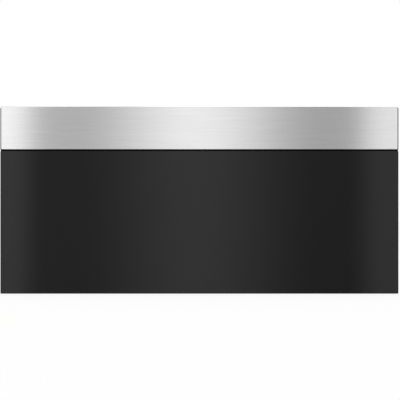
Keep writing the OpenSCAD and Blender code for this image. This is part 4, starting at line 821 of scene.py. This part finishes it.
matLow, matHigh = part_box("non_slip_mat")
usable = (matHigh - matLow) - Vector((2, 2, 0)) * studs["margin"]
columns, rows = int(usable.x / studs["pitch"]), int(usable.y / studs["pitch"])
matStuds = pieceFromTree("matStuds", studTree(), {
    "Width": columns * studs["pitch"], "Depth": rows * studs["pitch"],
    "Diameter": studs["diameter"], "Height": studs["height"],
    "Columns": columns + 1, "Rows": rows + 1, "Sides": studs["sides"], "Rings": studs["rings"],
    "Centre": ((matLow.x + matHigh.x) / 2, (matLow.y + matHigh.y) / 2, matHigh.z),
}, plain["silicone"], "drawer")
shadeSmooth(matStuds)
print("mat:", (columns + 1) * (rows + 1), "studs")

# Coil spring of the latch, drawn wire on a helix with both ends cut square
spring = {"turns": 8.0, "wire": 0.0009, "pointsPerTurn": 40, "wireSides": 12, "pushed": 0.004}


def springTree():
    tree, given = newTree("coil spring", "Spring", Float=["Turns", "Mean radius", "Length", "Wire radius"],
                          Int=["Points a turn", "Wire sides"], Vector=["Start"], Material=["Finish"])
    helix = addNode(tree, "GeometryNodeCurveSpiral", {
        "Resolution": given["Points a turn"], "Rotations": given["Turns"],
        "Start Radius": given["Mean radius"], "End Radius": given["Mean radius"], "Height": given["Length"]})
    section = addNode(tree, "GeometryNodeCurvePrimitiveCircle", {
        "Resolution": given["Wire sides"], "Radius": given["Wire radius"]})
    swept = addNode(tree, "GeometryNodeCurveToMesh", {
        "Curve": helix.outputs[0], "Profile Curve": section.outputs[0], "Fill Caps": True})
    laid = addNode(tree, "GeometryNodeTransform", {
        "Geometry": swept.outputs[0], "Translation": given["Start"], "Rotation": (math.radians(-90), 0, 0)})
    endTree(tree, "Spring", laid.outputs[0], given["Finish"])
    return tree


springLow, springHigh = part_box("latch_spring")
springLength = springHigh.y - springLow.y
springCoil = pieceFromTree("springCoil", springTree(), {
    "Turns": spring["turns"], "Mean radius": (springHigh.x - springLow.x - spring["wire"]) / 2,
    "Wire radius": spring["wire"] / 2, "Length": springLength - spring["wire"],
    "Points a turn": spring["pointsPerTurn"], "Wire sides": spring["wireSides"],
    "Start": ((springLow.x + springHigh.x) / 2, springLow.y + spring["wire"] / 2,
              (springLow.z + springHigh.z) / 2),
}, plain["springSteel"], "housing")
shadeSmooth(springCoil)
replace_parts(springCoil, "latch_spring")
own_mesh(springCoil)

# Pads of mineral wool felt inside the front: soft edges and an uneven, fibrous face
wool = {
    "step": 0.011, "dent": 0.0007, "bumpSize": 0.03,
    "rimSink": (0.3, 0.06),      # shares of the thickness, on the edge and one step in from it
    "faceShift": 9.0,            # so that the two faces have other dents
}
verts, faces = [], []
for members, low, high in looseParts(nodes["front_insulation"]):
    size = high - low
    wide, tall = max(2, round(size.x / wool["step"])), max(2, round(size.z / wool["step"]))
    base, layer = len(verts), (wide + 1) * (tall + 1)
    for side in (0, 1):
        for i in range(wide + 1):
            for k in range(tall + 1):
                x, z = low.x + size.x * i / wide, low.z + size.z * k / tall
                spot = Vector((x, side * wool["faceShift"], z)) / wool["bumpSize"]
                sink = wool["dent"] * (0.5 + 0.5 * noise.noise(spot))      # the noise is -1 to 1
                fromRim = min(i, wide - i, k, tall - k)
                if fromRim < len(wool["rimSink"]):
                    sink += size.y * wool["rimSink"][fromRim]
                verts.append((x, high.y - sink if side else low.y + sink, z))
    for i in range(wide):
        for k in range(tall):
            a = base + i * (tall + 1) + k
            b = a + tall + 1
            faces += [(a, b, b + 1, a + 1), (a + layer, a + layer + 1, b + layer + 1, b + layer)]
    rim = [(i, 0) for i in range(wide)] + [(wide, k) for k in range(tall)]
    rim += [(i, tall) for i in range(wide, 0, -1)] + [(0, k) for k in range(tall, 0, -1)]
    ring = [base + i * (tall + 1) + k for i, k in rim]
    faces += [(a, a + layer, b + layer, b) for a, b in zip(ring, ring[1:] + ring[:1])]
woolPads = meshObject("woolPads", verts, faces, woolFelt)
shell = bmesh.new()
shell.from_mesh(woolPads.data)
bmesh.ops.recalc_face_normals(shell, faces=shell.faces)
shell.to_mesh(woolPads.data)
shell.free()
shadeSmooth(woolPads)
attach(woolPads, "drawer")
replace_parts(woolPads, "front_insulation")
print("spring and wool pads")

# Generic marks printed on the touch strip, read from the front with the drawer open.
# Places are in metres along X from the middle; most points of a mark go by its height.
marks = {
    "line": 0.0009, "inkThickness": 0.00003, "height": 0.0075, "sides": 40,
    "onOff": -0.212, "cup": -0.150, "plate": -0.112, "dishCover": -0.074,
    "less": -0.012, "more": 0.063, "clock": 0.132, "start": 0.212,
    "stemFoot": 0.001, "signHalf": 0.003, "knobRadius": 0.0007, "knobLine": 0.0006,
    "cupHalf": (0.0035, 0.003, 0.0018),          # half widths at brim, waist and foot
    "handle": (0.0033, 0.0006, 0.0021),          # place beside and above the cup's middle, radius
    "levels": 4, "firstLevel": 0.010, "levelPitch": 0.011, "levelWidth": 0.0032,
}
stripLow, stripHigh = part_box("touch_strip")
markY, markZ = (stripLow.y + stripHigh.y) / 2, stripHigh.z + marks["inkThickness"]
markVerts, markFaces = [], []


def markRibbon(points, width=marks["line"], closed=False):
    # flat line of even width through points of the strip's plan, in metres from its middle
    count, start = len(points), len(markVerts)
    for i, point in enumerate(points):
        before = Vector(points[i - 1] if i or closed else point)
        after = Vector(points[(i + 1) % count] if i < count - 1 or closed else point)
        along = (after - before).normalized()
        side = Vector((-along.y, along.x)) * width / 2
        for s in (1, -1):
            markVerts.append((point[0] + s * side.x, markY + point[1] + s * side.y, markZ))
    for i in range(count if closed else count - 1):
        a, b = start + 2 * i, start + 2 * ((i + 1) % count)
        markFaces.append((a, a + 1, b + 1, b))


def arc(x, y, radius, first, last):
    # points from the first to the last angle, in degrees
    steps = max(4, int(marks["sides"] * abs(last - first) / 360))
    turns = [math.radians(first + (last - first) * i / steps) for i in range(steps + 1)]
    return [(x + radius * math.cos(turn), y + radius * math.sin(turn)) for turn in turns]


def markCircle(x, y, radius, **line):
    # ends a step short of the full turn, because a closed line joins its ends itself
    markRibbon(arc(x, y, radius, 0, 351), closed=True, **line)


tall = marks["height"]
x = marks["onOff"]
markRibbon(arc(x, 0, tall / 2, 130, 410))
markRibbon([(x, marks["stemFoot"]), (x, tall * 0.62)])
x = marks["cup"]
brim, waist, foot = marks["cupHalf"]
markRibbon([(x - brim, tall / 2), (x - waist, -tall * 0.3), (x - foot, -tall / 2),
            (x + foot, -tall / 2), (x + waist, -tall * 0.3), (x + brim, tall / 2)])
handleX, handleY, handleRadius = marks["handle"]
markRibbon(arc(x + handleX, handleY, handleRadius, -75, 75))
x = marks["plate"]
markCircle(x, 0, tall / 2)
markCircle(x, 0, tall * 0.28)
x = marks["dishCover"]
markRibbon(arc(x, -tall * 0.3, tall * 0.6, 0, 180))
markRibbon([(x - tall * 0.75, -tall * 0.42), (x + tall * 0.75, -tall * 0.42)])
markCircle(x, tall * 0.42, marks["knobRadius"], width=marks["knobLine"])
x, half = marks["less"], marks["signHalf"]
markRibbon([(x - half, 0), (x + half, 0)])
for i in range(marks["levels"]):
    x = marks["firstLevel"] + i * marks["levelPitch"]
    markRibbon([(x, -tall * 0.45), (x, -tall * 0.45 + tall * (0.3 + 0.2 * i))], width=marks["levelWidth"])
x = marks["more"]
markRibbon([(x - half, 0), (x + half, 0)])
markRibbon([(x, -half), (x, half)])
x = marks["clock"]
markCircle(x, 0, tall / 2)
markRibbon([(x, tall * 0.32), (x, 0), (x + tall * 0.22, -tall * 0.12)])
x = marks["start"]
markRibbon([(x - tall * 0.28, tall * 0.4), (x + tall * 0.42, 0), (x - tall * 0.28, -tall * 0.4)],
           closed=True)
touchMarks = meshObject("touchMarks", markVerts, markFaces, printedInk)
shell = bmesh.new()
shell.from_mesh(touchMarks.data)
for face in shell.faces:
    if face.normal.z < 0:
        face.normal_flip()
shell.to_mesh(touchMarks.data)
shell.free()
ink = touchMarks.modifiers.new("ink", "SOLIDIFY")     # down to the glass, so each mark is a closed film
ink.thickness = marks["inkThickness"]
ink.offset = -1.0
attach(touchMarks, "drawer")
print("touch marks:", len(markFaces), "faces")
